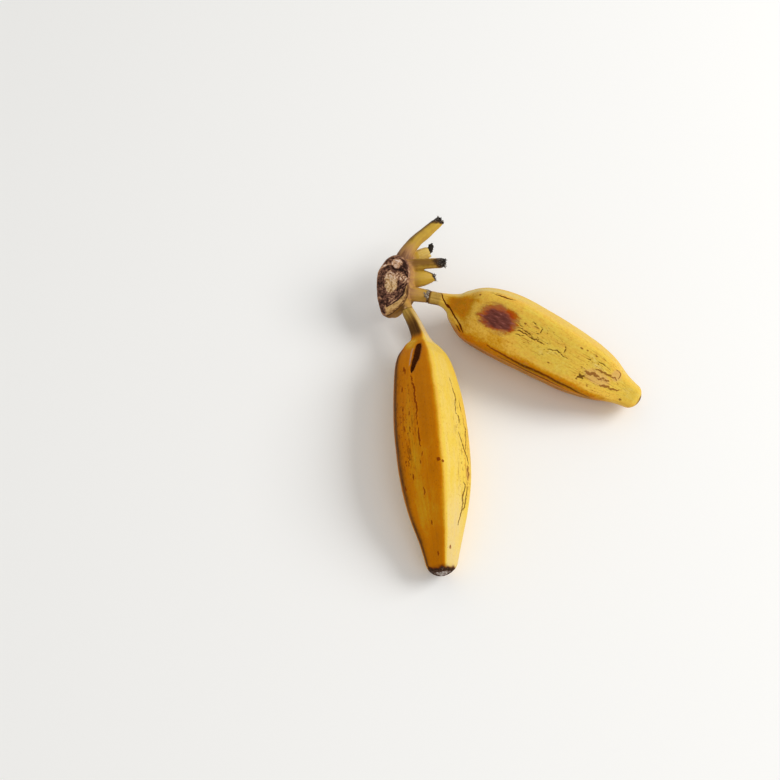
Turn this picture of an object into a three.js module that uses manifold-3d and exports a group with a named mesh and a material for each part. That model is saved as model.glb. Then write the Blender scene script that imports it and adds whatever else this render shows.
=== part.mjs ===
// Two ripe bananas on one cut crown, with the stubs of four more that were broken off it.
// The cluster lies on its two fruits. Millimetres, +Z up, origin at the middle of its bottom.

import * as THREE from 'three';
import { mergeVertices } from 'three/addons/utils/BufferGeometryUtils.js';
import Module from 'manifold-3d';

const wasm = await Module();
wasm.setup();

// Gap between the end of a fruit's neck and its socket on the crown.
const JOINT_GAP = 0.3;

// Height of the table that the bellies of the fruits lie flat on.
const TABLE = 0;

// A fruit's stations run from its neck to its blossom end, each [x, y, z, half width].
// Facets are the directions that its flat sides face, in degrees, seen from the neck, 90 being up.
const RIGHT_FRUIT = {
  stations: [
    [24.5, 53, 24, 4],
    [32, 51, 24, 3.9],
    [38, 48.5, 23.4, 6.2],
    [42.8, 46, 22.3, 11],
    [52.2, 42.2, 20.4, 17.5],
    [68.8, 35.1, 20.1, 20.5],
    [89, 23.2, 19.6, 19.9],
    [109.4, 10.5, 18.2, 18.5],
    [127.6, 0.5, 15.6, 15.1],
    [139.8, -6.7, 13, 9.1],
    [150.9, -13.5, 11, 6.4],
  ],
  facets: [65, 138, 204, 270, 335],
  sharpness: 9,
};

const FRONT_FRUIT = {
  stations: [
    [11, 43.5, 22.5, 3.6],
    [15.4, 33, 23, 4.1],
    [18.4, 23, 22.8, 5.4],
    [18.9, 17, 21.8, 10],
    [19.6, 6.8, 20.2, 15.5],
    [21.9, -18.5, 19, 19.3],
    [23.5, -44.5, 19.7, 20],
    [25.3, -69, 18.8, 19.1],
    [26.7, -89, 15.8, 15.6],
    [28.2, -105.5, 12.6, 11.2],
    [28.9, -123, 10, 7.4],
  ],
  facets: [62, 138, 204, 270, 352],
  sharpness: 11,
};

// Share of a fruit's length over which its blossom end rounds off.
const TIP_ROUNDING = 0.036;

// Stubs of the lost fruits, from inside the crown to the broken end, each [x, y, z, half width].
const STUBS = [
  [[5.5, 71, 27, 5], [9, 79.5, 30, 4.6], [15.5, 88.5, 32, 4], [24, 96, 34, 3.6], [32.5, 103.5, 36, 3]],
  [[8, 76, 24, 5], [14.5, 81.5, 24, 4.4], [20.5, 84.2, 25, 3.9], [25.3, 85.8, 26, 3.4]],
  [[7, 70.5, 28, 5], [13, 72.6, 30, 3.8], [21.5, 73, 31, 3.4], [35, 73.5, 31.5, 3]],
  [[7, 66.5, 23, 6.4], [14, 66.2, 24.5, 6], [21.5, 66.4, 25, 5], [28.5, 66.8, 25, 2.6]],
];
const STUB_ROUNDING = 0.06;

// Roots of the two sockets inside the crown, each [x, y, z, half width].
const RIGHT_SOCKET = [[5, 60, 22, 6.6], [12, 55.7, 24, 5]];
const FRONT_SOCKET = [[2.5, 59.5, 21, 6.4], [6.5, 52.5, 22, 4.8]];

// Straight length of a socket where it meets the fruit's neck.
const SOCKET_END = 3;

// Stubs and sockets are nearly round, with six faint sides.
const STALK_FACETS = [0, 60, 120, 180, 240, 300];
const STALK_SHARPNESS = 6;

// The face that the crown was cut off at, with its outline across (right) and along (away).
const CUT_CENTRE = new THREE.Vector3(1, 56.5, 29.5);
const CUT_NORMAL = new THREE.Vector3(-0.2, -0.32, 0.93).normalize();
const CUT_ALONG = new THREE.Vector3(0.24, 0.9, 0.36);
const CUT_OUTLINE = [
  [9.4, 6], [8.4, 12.6], [4.8, 18.8], [-1.6, 21.1], [-6.9, 19.1], [-10.2, 13.6],
  [-11.7, 5.5], [-9.5, -4], [-5.4, -13.5], [-0.6, -18.6], [6, -13], [10.3, -4.8],
];

// Sections of the crown below the cut: depth, shift to the right, share of the cut's outline.
const CROWN_LEVELS = [
  [0, 0, 0.94],
  [1.2, 0.4, 1],
  [5, 2.4, 1],
  [10, 4.2, 0.9],
  [14, 5, 0.72],
  [17, 5.5, 0.45],
];

// Grid of each skin: sides around it and steps along it.
const FRUIT_GRID = { around: 36, along: 40 };
const STALK_GRID = { around: 18, along: 12 };
const CROWN_AROUND = 36;

// How much closer the rings of a rounded end lie than those of the other end, 1 being even.
const RING_CROWDING = 1.5;

const PEEL = { color: 0xdcb43c, roughness: 0.5, metalness: 0 };
const CROWN = { color: 0x9a7046, roughness: 0.85, metalness: 0 };

/** Distance to the edge of a polygon with rounded corners whose sides are one unit from its centre. */
function polygonRadius(angle, facets, sharpness) {
  const sides = facets.map((facet) => Math.cos(angle - THREE.MathUtils.degToRad(facet)));
  const sum = sides.reduce((total, side) => total + Math.max(0, side) ** sharpness, 0);
  return sum ** (-1 / sharpness);
}

/** Bends a sphere's grid into a closed skin: place(turn, row) gives the point of each grid corner. */
function skin({ around, along }, place) {
  const geometry = new THREE.SphereGeometry(1, around, along);
  const { position, uv } = geometry.attributes;
  for (let i = 0; i < position.count; i += 1) {
    const row = Math.round((1 - uv.getY(i)) * along);
    const point = place(uv.getX(i), row);
    position.setXYZ(i, point.x, point.y, point.z);
  }
  geometry.deleteAttribute('normal');
  geometry.deleteAttribute('uv');
  return mergeVertices(geometry);
}

/** A smooth curve through points, closed on itself or open. */
function smooth(points, closed) {
  return new THREE.CatmullRomCurve3(points, closed, 'catmullrom', 0.5);
}

/** Carries a rounded polygon along a smooth path through stations, flat or rounded off at its far end. */
function loft(stations, facets, sharpness, grid, rounding) {
  const path = smooth(stations.map(([x, y, z]) => new THREE.Vector3(x, y, z)), false);
  const width = smooth(stations.map(([, , , half]) => new THREE.Vector3(half, 0, 0)), false);
  const up = new THREE.Vector3(0, 0, 1);
  const lastRing = rounding > 0 ? grid.along : grid.along - 1;
  return skin(grid, (turn, row) => {
    const step = THREE.MathUtils.clamp((row - 1) / (lastRing - 1), 0, 1);
    const share = rounding > 0 ? 1 - (1 - step) ** RING_CROWDING : step;
    const centre = path.getPoint(share);
    if (row === 0 || row === grid.along) {
      return centre;
    }
    const ahead = path.getTangent(share);
    const right = new THREE.Vector3().crossVectors(ahead, up).normalize();
    const over = new THREE.Vector3().crossVectors(right, ahead);
    const fromTip = rounding > 0 ? Math.min(1, (1 - share) / rounding) : 1;
    const angle = turn * 2 * Math.PI;
    const closing = Math.sqrt(1 - (1 - fromTip) ** 2);
    const radius = width.getPoint(share).x * closing * polygonRadius(angle, facets, sharpness);
    centre.addScaledVector(right, radius * Math.cos(angle));
    centre.addScaledVector(over, radius * Math.sin(angle));
    centre.z = Math.max(centre.z, TABLE);
    return centre;
  });
}

/** One whole banana, from the thin end of its neck to its blossom end. */
function fruit({ stations, facets, sharpness }) {
  return loft(stations, facets, sharpness, FRUIT_GRID, TIP_ROUNDING);
}

/** A short stalk on the crown whose flat end faces the neck of a fruit across the joint gap. */
function socket(root, { stations: [first, second] }) {
  const neck = new THREE.Vector3(...first);
  const away = neck.clone().sub(new THREE.Vector3(...second)).normalize();
  const end = neck.clone().addScaledVector(away, JOINT_GAP);
  const bend = end.clone().addScaledVector(away, SOCKET_END);
  const half = first[3];
  const stations = [...root, [...bend, half], [...end, half]];
  return loft(stations, STALK_FACETS, STALK_SHARPNESS, STALK_GRID, 0);
}

/** The pad of the crown, from its cut face down to its rounded underside. */
function crownPad() {
  const along = CUT_ALONG.clone().projectOnPlane(CUT_NORMAL).normalize();
  const across = new THREE.Vector3().crossVectors(along, CUT_NORMAL);
  const corners = CUT_OUTLINE.map(([u, v]) => new THREE.Vector3(u, v, 0));
  const outline = smooth(corners, true);
  const grid = { around: CROWN_AROUND, along: CROWN_LEVELS.length + 1 };
  return skin(grid, (turn, row) => {
    const level = THREE.MathUtils.clamp(row - 1, 0, CROWN_LEVELS.length - 1);
    const [depth, shift, size] = CROWN_LEVELS[level];
    const centre = CUT_CENTRE.clone().addScaledVector(CUT_NORMAL, -depth).addScaledVector(across, shift);
    if (row === 0 || row === grid.along) {
      return centre;
    }
    const edge = outline.getPoint(turn % 1).multiplyScalar(size);
    return centre.addScaledVector(across, edge.x).addScaledVector(along, edge.y);
  });
}

/** A closed geometry as a solid that can be joined to others. */
function toSolid(geometry) {
  const vertProperties = Float32Array.from(geometry.attributes.position.array);
  const triVerts = Uint32Array.from(geometry.index.array);
  return new wasm.Manifold(new wasm.Mesh({ numProp: 3, vertProperties, triVerts }));
}

/** Several closed geometries joined into one. */
function join(geometries) {
  const solid = geometries.map(toSolid).reduce((whole, piece) => whole.add(piece));
  const { vertProperties, triVerts } = solid.getMesh();
  const geometry = new THREE.BufferGeometry();
  geometry.setAttribute('position', new THREE.BufferAttribute(vertProperties, 3));
  geometry.setIndex(new THREE.BufferAttribute(triVerts, 1));
  return geometry;
}

/** The whole crown: its pad, the broken stubs and a socket for each fruit. */
function crown() {
  const stubs = STUBS.map((stub) => loft(stub, STALK_FACETS, STALK_SHARPNESS, STALK_GRID, STUB_ROUNDING));
  const sockets = [socket(RIGHT_SOCKET, RIGHT_FRUIT), socket(FRONT_SOCKET, FRONT_FRUIT)];
  return join([crownPad(), ...stubs, ...sockets]);
}

/** A named piece of the cluster with its own material. */
function piece(name, geometry, look) {
  geometry.computeVertexNormals();
  const mesh = new THREE.Mesh(geometry, new THREE.MeshStandardMaterial(look));
  mesh.name = name;
  return mesh;
}

const cluster = new THREE.Group();
cluster.add(piece('crown', crown(), CROWN));
cluster.add(piece('banana_right', fruit(RIGHT_FRUIT), PEEL));
cluster.add(piece('banana_front', fruit(FRONT_FRUIT), PEEL));

const box = new THREE.Box3().setFromObject(cluster);
const middle = box.getCenter(new THREE.Vector3());
cluster.position.set(-middle.x, -middle.y, -box.min.z);

export default cluster;
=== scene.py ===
"""Two ripe bananas on one cut crown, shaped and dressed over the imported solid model.

Each fruit is a rounded polygon carried along a smooth path from its neck to its blossom end. The crown is
its cut pad, broken stubs and sockets grown into one skin. Marks on the peel are distances and masks that
are worked out on the mesh, stored as attributes and coloured by the finish. Sizes are millimetres and
angles are degrees, and a mesh is placed in the frame's metres when it is made.
"""

import logging
from dataclasses import dataclass
from enum import Enum

import bpy
import numpy as np
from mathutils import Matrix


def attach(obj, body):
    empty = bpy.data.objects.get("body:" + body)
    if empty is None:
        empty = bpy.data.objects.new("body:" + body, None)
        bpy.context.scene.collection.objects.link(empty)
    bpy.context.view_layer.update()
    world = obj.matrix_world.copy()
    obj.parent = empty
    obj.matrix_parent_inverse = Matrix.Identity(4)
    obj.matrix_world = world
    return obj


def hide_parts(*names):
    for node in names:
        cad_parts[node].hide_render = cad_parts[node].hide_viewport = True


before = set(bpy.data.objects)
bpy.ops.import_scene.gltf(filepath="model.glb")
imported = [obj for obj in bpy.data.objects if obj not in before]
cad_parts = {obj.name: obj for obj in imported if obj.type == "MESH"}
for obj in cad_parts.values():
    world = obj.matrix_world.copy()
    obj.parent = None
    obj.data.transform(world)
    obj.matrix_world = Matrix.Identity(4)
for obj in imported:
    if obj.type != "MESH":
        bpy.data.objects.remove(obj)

log = logging.getLogger("banana_cluster")

MM = 0.001
LAYOUT_ORIGIN_MM = np.array([-71.989, 9.185, 0.0])
BODY = "root"

# Random values along each side of a noise lattice, and samples that are searched together.
LATTICE = 24
SEARCH_BLOCK = 48

# Distance, in millimetres, that takes in every point of the crown.
ANYWHERE_MM = 400.0

# Points around the crown's pad, and samples of the outline and the groove of its cut.
PAD_COLUMNS = 96
OUTLINE_SAMPLES = 400
GROOVE_SAMPLES = 120

# Samples that a line on the peel has at least, and the distance between the rest of them.
LINE_SAMPLES = 12
LINE_STEP_MM = 0.15

# Three waves that a line on the peel strays by: turns per millimetre, strengths and starts.
STRAY_WAVES = (0.6, 1.7, 3.9)
STRAY_SHARES = (0.45, 0.35, 0.2)
STRAY_STARTS = (1.3, 2.9, 4.1)

# Share of a fruit at each end over which the averaging of its path starts.
EVENED_END = 0.06

# Samples of a fruit's path and of a stalk's path, and the radius of a straightened stalk.
PATH_SAMPLES = 200
STALK_SAMPLES = 80
STALK_MM = 4.0

SENSOR_MM = 36.0
FLOOR_HALF_M = 2.5


class Slot(Enum):
    """Material slots of the record."""

    PEEL = "peel"
    CROWN = "crown"


class Mark(Enum):
    """Kinds of line on the peel, named as the mesh attribute that holds them."""

    CRACK = "crack"
    LIP = "lip"
    SCRATCH = "scratch"
    SEAM = "seam"
    SLIT = "slit"


def tone(code: str) -> tuple[float, float, float, float]:
    """Turns a hex colour into the linear colour that shaders take.

    Args:
        code: Six hex digits of an sRGB colour.

    Returns:
        Red, green, blue and an alpha of one.
    """
    shown = np.array([int(code[i:i + 2], 16) for i in (0, 2, 4)]) / 255
    linear = np.where(shown <= 0.04045, shown / 12.92, ((shown + 0.055) / 1.055) ** 2.4)
    return (*linear.tolist(), 1.0)


def rise(value: np.ndarray, low: float, high: float) -> np.ndarray:
    """Smooth step from 0 at low to 1 at high: w * w * (3 - 2w) of the share w between them."""
    share = np.clip((value - low) / (high - low), 0, 1)
    return share * share * (3 - 2 * share)


def unit(vectors: np.ndarray) -> np.ndarray:
    """Vectors divided by their lengths."""
    return vectors / np.linalg.norm(vectors, axis=-1, keepdims=True)


def apart(angle: np.ndarray, facing: float | np.ndarray) -> np.ndarray:
    """Degrees between directions, up to 180."""
    return np.abs((angle - facing + 180) % 360 - 180)


def axes_along(slope: np.ndarray) -> tuple[np.ndarray, np.ndarray, np.ndarray]:
    """Directions ahead along a path, level to its right, and over it.

    Args:
        slope: Slopes of the path, in the last axis.

    Returns:
        The three directions, each of length one.
    """
    ahead = unit(slope)
    right = unit(np.cross(ahead, [0.0, 0.0, 1.0]))
    return ahead, right, np.cross(right, ahead)


def outward(turn: np.ndarray, right: np.ndarray, over: np.ndarray) -> np.ndarray:
    """Directions away from a path, at turns in radians from its right towards over it."""
    return np.cos(turn)[..., None] * right + np.sin(turn)[..., None] * over


def ring_grid(rows: int, columns: int) -> tuple[np.ndarray, np.ndarray]:
    """Shares along a path and turns around it in radians, each rows by columns."""
    turn = np.arange(columns) * 2 * np.pi / columns
    return np.meshgrid(np.linspace(0, 1, rows), turn, indexing="ij")


def largest_field(fields: list[np.ndarray], count: int) -> np.ndarray:
    """The largest of several measures at each point, or 0 where there are none."""
    return np.max([np.zeros(count), *fields], axis=0)


def through(stations: np.ndarray, share: np.ndarray, closed: bool = False) -> tuple[np.ndarray, np.ndarray]:
    """Follows a smooth curve through stations.

    A stretch from station b to c, with neighbours a and d, is the cubic
    (2b + (c - a)w + (2a - 5b + 4c - d)w^2 + (3b - a - 3c + d)w^3) / 2 for w from 0 to 1.

    Args:
        stations: One row of values for each station.
        share: Places along the curve, from 0 to 1, with equal steps from station to station.
        closed: Whether the curve runs on from its last station to its first.

    Returns:
        The curve's values at those places, and their slopes.
    """
    if closed:
        known = np.vstack([stations[-1:], stations, stations[:2]])
        stretches = len(stations)
    else:
        known = np.vstack([2 * stations[0] - stations[1], stations, 2 * stations[-1] - stations[-2]])
        stretches = len(stations) - 1
    reach = np.clip(share, 0, 1) * stretches
    first = np.minimum(reach.astype(int), stretches - 1)
    w = (reach - first)[..., None]
    a, b, c, d = (known[first + k] for k in range(4))
    square = 2 * a - 5 * b + 4 * c - d
    cube = 3 * b - a - 3 * c + d
    value = (2 * b + (c - a) * w + square * w**2 + cube * w**3) / 2
    slope = (c - a + 2 * square * w + 3 * cube * w**2) / 2
    return value, slope


def cloud(points: np.ndarray, cell: float, seed: int) -> np.ndarray:
    """Smooth random field from -1 to 1, with random values on a lattice blended inside each cell.

    Args:
        points: Points in space, in the last axis.
        cell: Lattice spacing.
        seed: Number that picks the random values.

    Returns:
        The field at each point.
    """
    table = np.random.default_rng(seed).uniform(-1, 1, (LATTICE, LATTICE, LATTICE))
    low = np.floor(points / cell).astype(int)
    w = points / cell - low
    w = w * w * (3 - 2 * w)
    total = np.zeros(points.shape[:-1])
    for corner in np.ndindex(2, 2, 2):
        at = np.moveaxis((low + corner) % LATTICE, -1, 0)
        total += np.where(corner, w, 1 - w).prod(axis=-1) * table[tuple(at)]
    return total


def nearest(points: np.ndarray, samples: np.ndarray, reach: float) -> tuple[np.ndarray, np.ndarray]:
    """Finds the nearest of a few samples to each point, for points within reach of them.

    Args:
        points: Points, one per row.
        samples: Samples of a line or outline, one per row.
        reach: Distance past which a point isn't measured.

    Returns:
        Distances, which are twice the reach where they weren't measured, and the samples' numbers.
    """
    distance = np.full(len(points), 2 * reach)
    number = np.zeros(len(points), int)
    for first in range(0, len(samples), SEARCH_BLOCK):
        block = samples[first:first + SEARCH_BLOCK]
        inside = ((points > block.min(0) - reach) & (points < block.max(0) + reach)).all(axis=1)
        gaps = np.linalg.norm(points[inside][:, None, :] - block[None, :, :], axis=2)
        closest = gaps.min(axis=1, initial=2 * reach)
        better = closest < distance[inside]
        closer = np.flatnonzero(inside)[better]
        number[closer] = first + gaps[better].argmin(axis=1)
        distance[closer] = closest[better]
    return distance, number


def polygon_radius(angle: np.ndarray, facets: tuple[float, ...], sharpness: np.ndarray) -> np.ndarray:
    """Distance to the edge of a polygon with rounded corners and sides one unit from its centre.

    Each side that faces f gives c = max(0, cos(angle - f)), and the distance is the sum of c^p over the
    sides to the power -1/p, which comes closer to sharp corners as p grows.

    Args:
        angle: Directions from the centre, in degrees.
        facets: Directions that the sides face, in degrees.
        sharpness: The power p, of a shape that fits the angles.

    Returns:
        The distance in each direction.
    """
    turns = np.radians(angle[..., None] - np.array(facets))
    sides = np.maximum(np.cos(turns), 0) ** sharpness[..., None]
    return sides.sum(axis=-1) ** (-1 / sharpness)


@dataclass
class Skin:
    """A closed grid of points: rings one after another, with a point at each end.

    Attributes:
        rings: Points of the rings, as rings by columns by three.
        start: Point that closes the first ring.
        end: Point that closes the last ring.
    """

    rings: np.ndarray
    start: np.ndarray
    end: np.ndarray

    def points(self) -> np.ndarray:
        """All points, with the two ends last."""
        return np.vstack([self.rings.reshape(-1, 3), self.start, self.end])

    def faces(self, first: int = 0) -> list[list[int]]:
        """Lists the skin's faces, turned outwards for rings that run clockwise about their path.

        Args:
            first: Number of the skin's first point in the mesh.

        Returns:
            The corner numbers of each face: squares between rings and triangles at the ends.
        """
        rows, columns = self.rings.shape[:2]
        number = np.arange(rows * columns).reshape(rows, columns) + first
        after = np.roll(number, -1, axis=1)
        squares = np.stack([number[:-1], number[1:], after[1:], after[:-1]], axis=-1).reshape(-1, 4)
        tip = np.full(columns, rows * columns + first)
        opening = np.stack([tip, number[0], after[0]], axis=-1)
        closing = np.stack([tip + 1, after[-1], number[-1]], axis=-1)
        return squares.tolist() + opening.tolist() + closing.tolist()


def put(name: str, data: bpy.types.ID) -> bpy.types.Object:
    """Makes an object of a mesh, light or camera and links it to the scene.

    Args:
        name: Name of the object.
        data: What it shows.

    Returns:
        The object.
    """
    made = bpy.data.objects.new(name, data)
    bpy.context.scene.collection.objects.link(made)
    return made


def shade_smooth(mesh: bpy.types.Mesh) -> None:
    """Shades all faces of a mesh smoothly and brings it up to date."""
    mesh.polygons.foreach_set("use_smooth", np.ones(len(mesh.polygons), bool))
    mesh.update()


def read(rows: bpy.types.bpy_prop_collection, name: str) -> np.ndarray:
    """Reads a vector from each row of one of a mesh's tables.

    Args:
        rows: The table.
        name: Name of the vector.

    Returns:
        The vectors, one per row.
    """
    values = np.empty(len(rows) * 3, np.float32)
    rows.foreach_get(name, values)
    return values.reshape(-1, 3).astype(float)


def new_mesh(name: str, points: np.ndarray, faces: list[list[int]]) -> bpy.types.Object:
    """Makes a smooth mesh object at the origin.

    Args:
        name: Name of the object.
        points: Points in metres.
        faces: Corner numbers of each face.

    Returns:
        The object, linked to the scene.
    """
    mesh = bpy.data.meshes.new(name)
    mesh.from_pydata(points.tolist(), [], faces)
    shade_smooth(mesh)
    return put(name, mesh)


def store(piece: bpy.types.Object, name: str, values: np.ndarray) -> None:
    """Keeps a number or a vector for each point of a mesh.

    Args:
        piece: The mesh object.
        name: Name of the attribute.
        values: One number, or one row of three, for each point.
    """
    vector = values.ndim == 2
    made = piece.data.attributes.new(name, "FLOAT_VECTOR" if vector else "FLOAT", "POINT")
    made.data.foreach_set("vector" if vector else "value", values.astype(np.float32).ravel())


def place(points_mm: np.ndarray) -> np.ndarray:
    """Moves points from the layout's millimetres into the frame's metres."""
    return (points_mm + LAYOUT_ORIGIN_MM) * MM


class NodeSheet:
    """A material under construction, with a short method for each kind of node that it uses."""

    def __init__(self, name: str) -> None:
        """Starts an empty material of the given name."""
        self.material = bpy.data.materials.new(name)
        self.material.use_nodes = True
        self.tree = self.material.node_tree
        self.tree.nodes.clear()

    def node(self, kind: str, inputs: dict | None = None, **settings: object) -> bpy.types.Node:
        """Adds a node.

        Args:
            kind: Blender's name of the node type.
            inputs: Sockets to link from, or values to set, by the name or number of the input.
            **settings: Properties of the node.

        Returns:
            The node.
        """
        made = self.tree.nodes.new(kind)
        for key, value in settings.items():
            setattr(made, key, value)
        for key, value in (inputs or {}).items():
            if isinstance(value, bpy.types.NodeSocket):
                self.tree.links.new(value, made.inputs[key])
            else:
                made.inputs[key].default_value = value
        return made

    def number(self, name: str) -> bpy.types.NodeSocket:
        """Reads a number that is stored on the mesh."""
        return self.node("ShaderNodeAttribute", attribute_name=name).outputs["Fac"]

    def vector(self, name: str) -> bpy.types.NodeSocket:
        """Reads a vector that is stored on the mesh."""
        return self.node("ShaderNodeAttribute", attribute_name=name).outputs["Vector"]

    def sum(self, *terms: tuple[object, float]) -> bpy.types.NodeSocket:
        """Adds values, each times its own weight.

        Args:
            *terms: Pairs of a socket and its weight.

        Returns:
            The socket with the sum.
        """
        total: object = 0.0
        for value, weight in terms:
            step = self.node("ShaderNodeMath", {0: value, 1: weight, 2: total}, operation="MULTIPLY_ADD")
            total = step.outputs[0]
        return total

    def math(self, operation: str, first: object, second: object = 0.0) -> bpy.types.NodeSocket:
        """Applies one of Blender's named operations to one or two values."""
        return self.node("ShaderNodeMath", {0: first, 1: second}, operation=operation).outputs[0]

    def times(self, first: object, second: object) -> bpy.types.NodeSocket:
        """Multiplies two values."""
        return self.math("MULTIPLY", first, second)

    def largest(self, first: object, second: object) -> bpy.types.NodeSocket:
        """Takes the larger of two values."""
        return self.math("MAXIMUM", first, second)

    def step(self, value: object, low: float, high: float) -> bpy.types.NodeSocket:
        """Rises smoothly from 0 where a value is low to 1 where it is high, or falls if low is larger."""
        if low > high:
            inputs = {"Value": value, "From Min": high, "From Max": low, "To Min": 1.0, "To Max": 0.0}
        else:
            inputs = {"Value": value, "From Min": low, "From Max": high}
        return self.node("ShaderNodeMapRange", inputs, interpolation_type="SMOOTHSTEP").outputs["Result"]

    def mask(self, name: str, low: float, high: float,
             *terms: tuple[object, float]) -> bpy.types.NodeSocket:
        """Steps a number that is stored on the mesh, with noise added to it so that its edge frays.

        Args:
            name: Name of the attribute.
            low: Where the mask is 0.
            high: Where the mask is 1.
            *terms: Pairs of a value to add and its weight.

        Returns:
            The socket with the mask.
        """
        return self.step(self.sum((self.number(name), 1.0), *terms), low, high)

    def stretch(self, vector: object, share: float) -> bpy.types.NodeSocket:
        """Scales a pattern's third coordinate, so that a small share draws it out that way."""
        inputs = {"Vector": vector, "Scale": (1.0, 1.0, share)}
        return self.node("ShaderNodeMapping", inputs).outputs["Vector"]

    def noise(self, vector: object, scale: float, detail: float = 3.0,
              roughness: float = 0.55) -> bpy.types.NodeSocket:
        """Adds a noise pattern.

        Args:
            vector: Coordinates of the pattern, in metres.
            scale: Cells in a metre.
            detail: Finer layers of the pattern.
            roughness: Strength of each finer layer.

        Returns:
            The socket with the pattern, mostly between 0.3 and 0.7.
        """
        inputs = {"Vector": vector, "Scale": scale, "Detail": detail, "Roughness": roughness}
        return self.node("ShaderNodeTexNoise", inputs).outputs["Fac"]

    def strands(self, vector: object, share: float, scale: float, detail: float) -> bpy.types.NodeSocket:
        """Adds a noise pattern that is drawn out along its third coordinate, more for a smaller share."""
        return self.noise(self.stretch(vector, share), scale, detail)

    def dots(self, vector: object, scale: float, size: float, share: float) -> bpy.types.NodeSocket:
        """Adds small round spots, one in some of the cells of a pattern.

        Args:
            vector: Coordinates of the pattern, in metres.
            scale: Cells in a metre.
            size: Radius of a spot, in cells.
            share: Share of the cells that hold a spot.

        Returns:
            The socket with the spots, 1 in a spot and 0 outside.
        """
        cells = self.node("ShaderNodeTexVoronoi", {"Vector": vector, "Scale": scale})
        spot = self.step(cells.outputs["Distance"], size, size * 0.5)
        parts = self.node("ShaderNodeSeparateColor", {"Color": cells.outputs["Color"]})
        return self.times(spot, self.math("LESS_THAN", parts.outputs[0], share))

    def ramp(self, value: object, stops: list[tuple[float, str]]) -> bpy.types.NodeSocket:
        """Turns a value into a colour.

        Args:
            value: The value.
            stops: Pairs of a value and the hex colour there, in rising order.

        Returns:
            The socket with the colour.
        """
        made = self.node("ShaderNodeValToRGB", {"Fac": value})
        elements = made.color_ramp.elements
        for _ in stops[2:]:
            elements.new(0.5)
        for element, (position, code) in zip(elements, stops):
            element.position = position
            element.color = tone(code)
        return made.outputs["Color"]

    def blend(self, share: object, first: object, second: object) -> bpy.types.NodeSocket:
        """Mixes two colours, each a socket or a hex code, by a share of the second."""
        colours = [tone(colour) if isinstance(colour, str) else colour for colour in (first, second)]
        inputs = {0: share, 6: colours[0], 7: colours[1]}
        return self.node("ShaderNodeMix", inputs, data_type="RGBA").outputs[2]

    def stain(self, share: object, colour: object, tint: str) -> bpy.types.NodeSocket:
        """Darkens a colour by a share of its product with a tint, given as a hex code."""
        base = tone(colour) if isinstance(colour, str) else colour
        inputs = {0: share, 6: base, 7: tone(tint)}
        return self.node("ShaderNodeMix", inputs, data_type="RGBA", blend_type="MULTIPLY").outputs[2]

    def bump(self, height: object, depth: float) -> bpy.types.NodeSocket:
        """Turns a height into a shading normal, with a depth in metres for a height of one."""
        inputs = {"Height": height, "Distance": depth, "Strength": 1.0}
        return self.node("ShaderNodeBump", inputs).outputs["Normal"]

    def surface(self, inputs: dict) -> bpy.types.Material:
        """Closes the material with its shader.

        Args:
            inputs: Sockets and values of the shader, by name.

        Returns:
            The finished material.
        """
        shader = self.node("ShaderNodeBsdfPrincipled", inputs)
        self.node("ShaderNodeOutputMaterial", {"Surface": shader.outputs["BSDF"]})
        return self.material


@dataclass(frozen=True)
class PeelFinish:
    """Colours of one fruit's peel.

    Attributes:
        name: Name of the material.
        scratch: Hex colour of the scratches.
        cork: Hex colour of the corky skin around them.
        slit: Hex colour inside the slits.
        deep: Hex colours of its ripest skin, from amber to brown.
        mottled: How uneven its colour is.
    """

    name: str
    scratch: str
    cork: str
    slit: str
    deep: tuple[str, str, str]
    mottled: float


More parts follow.
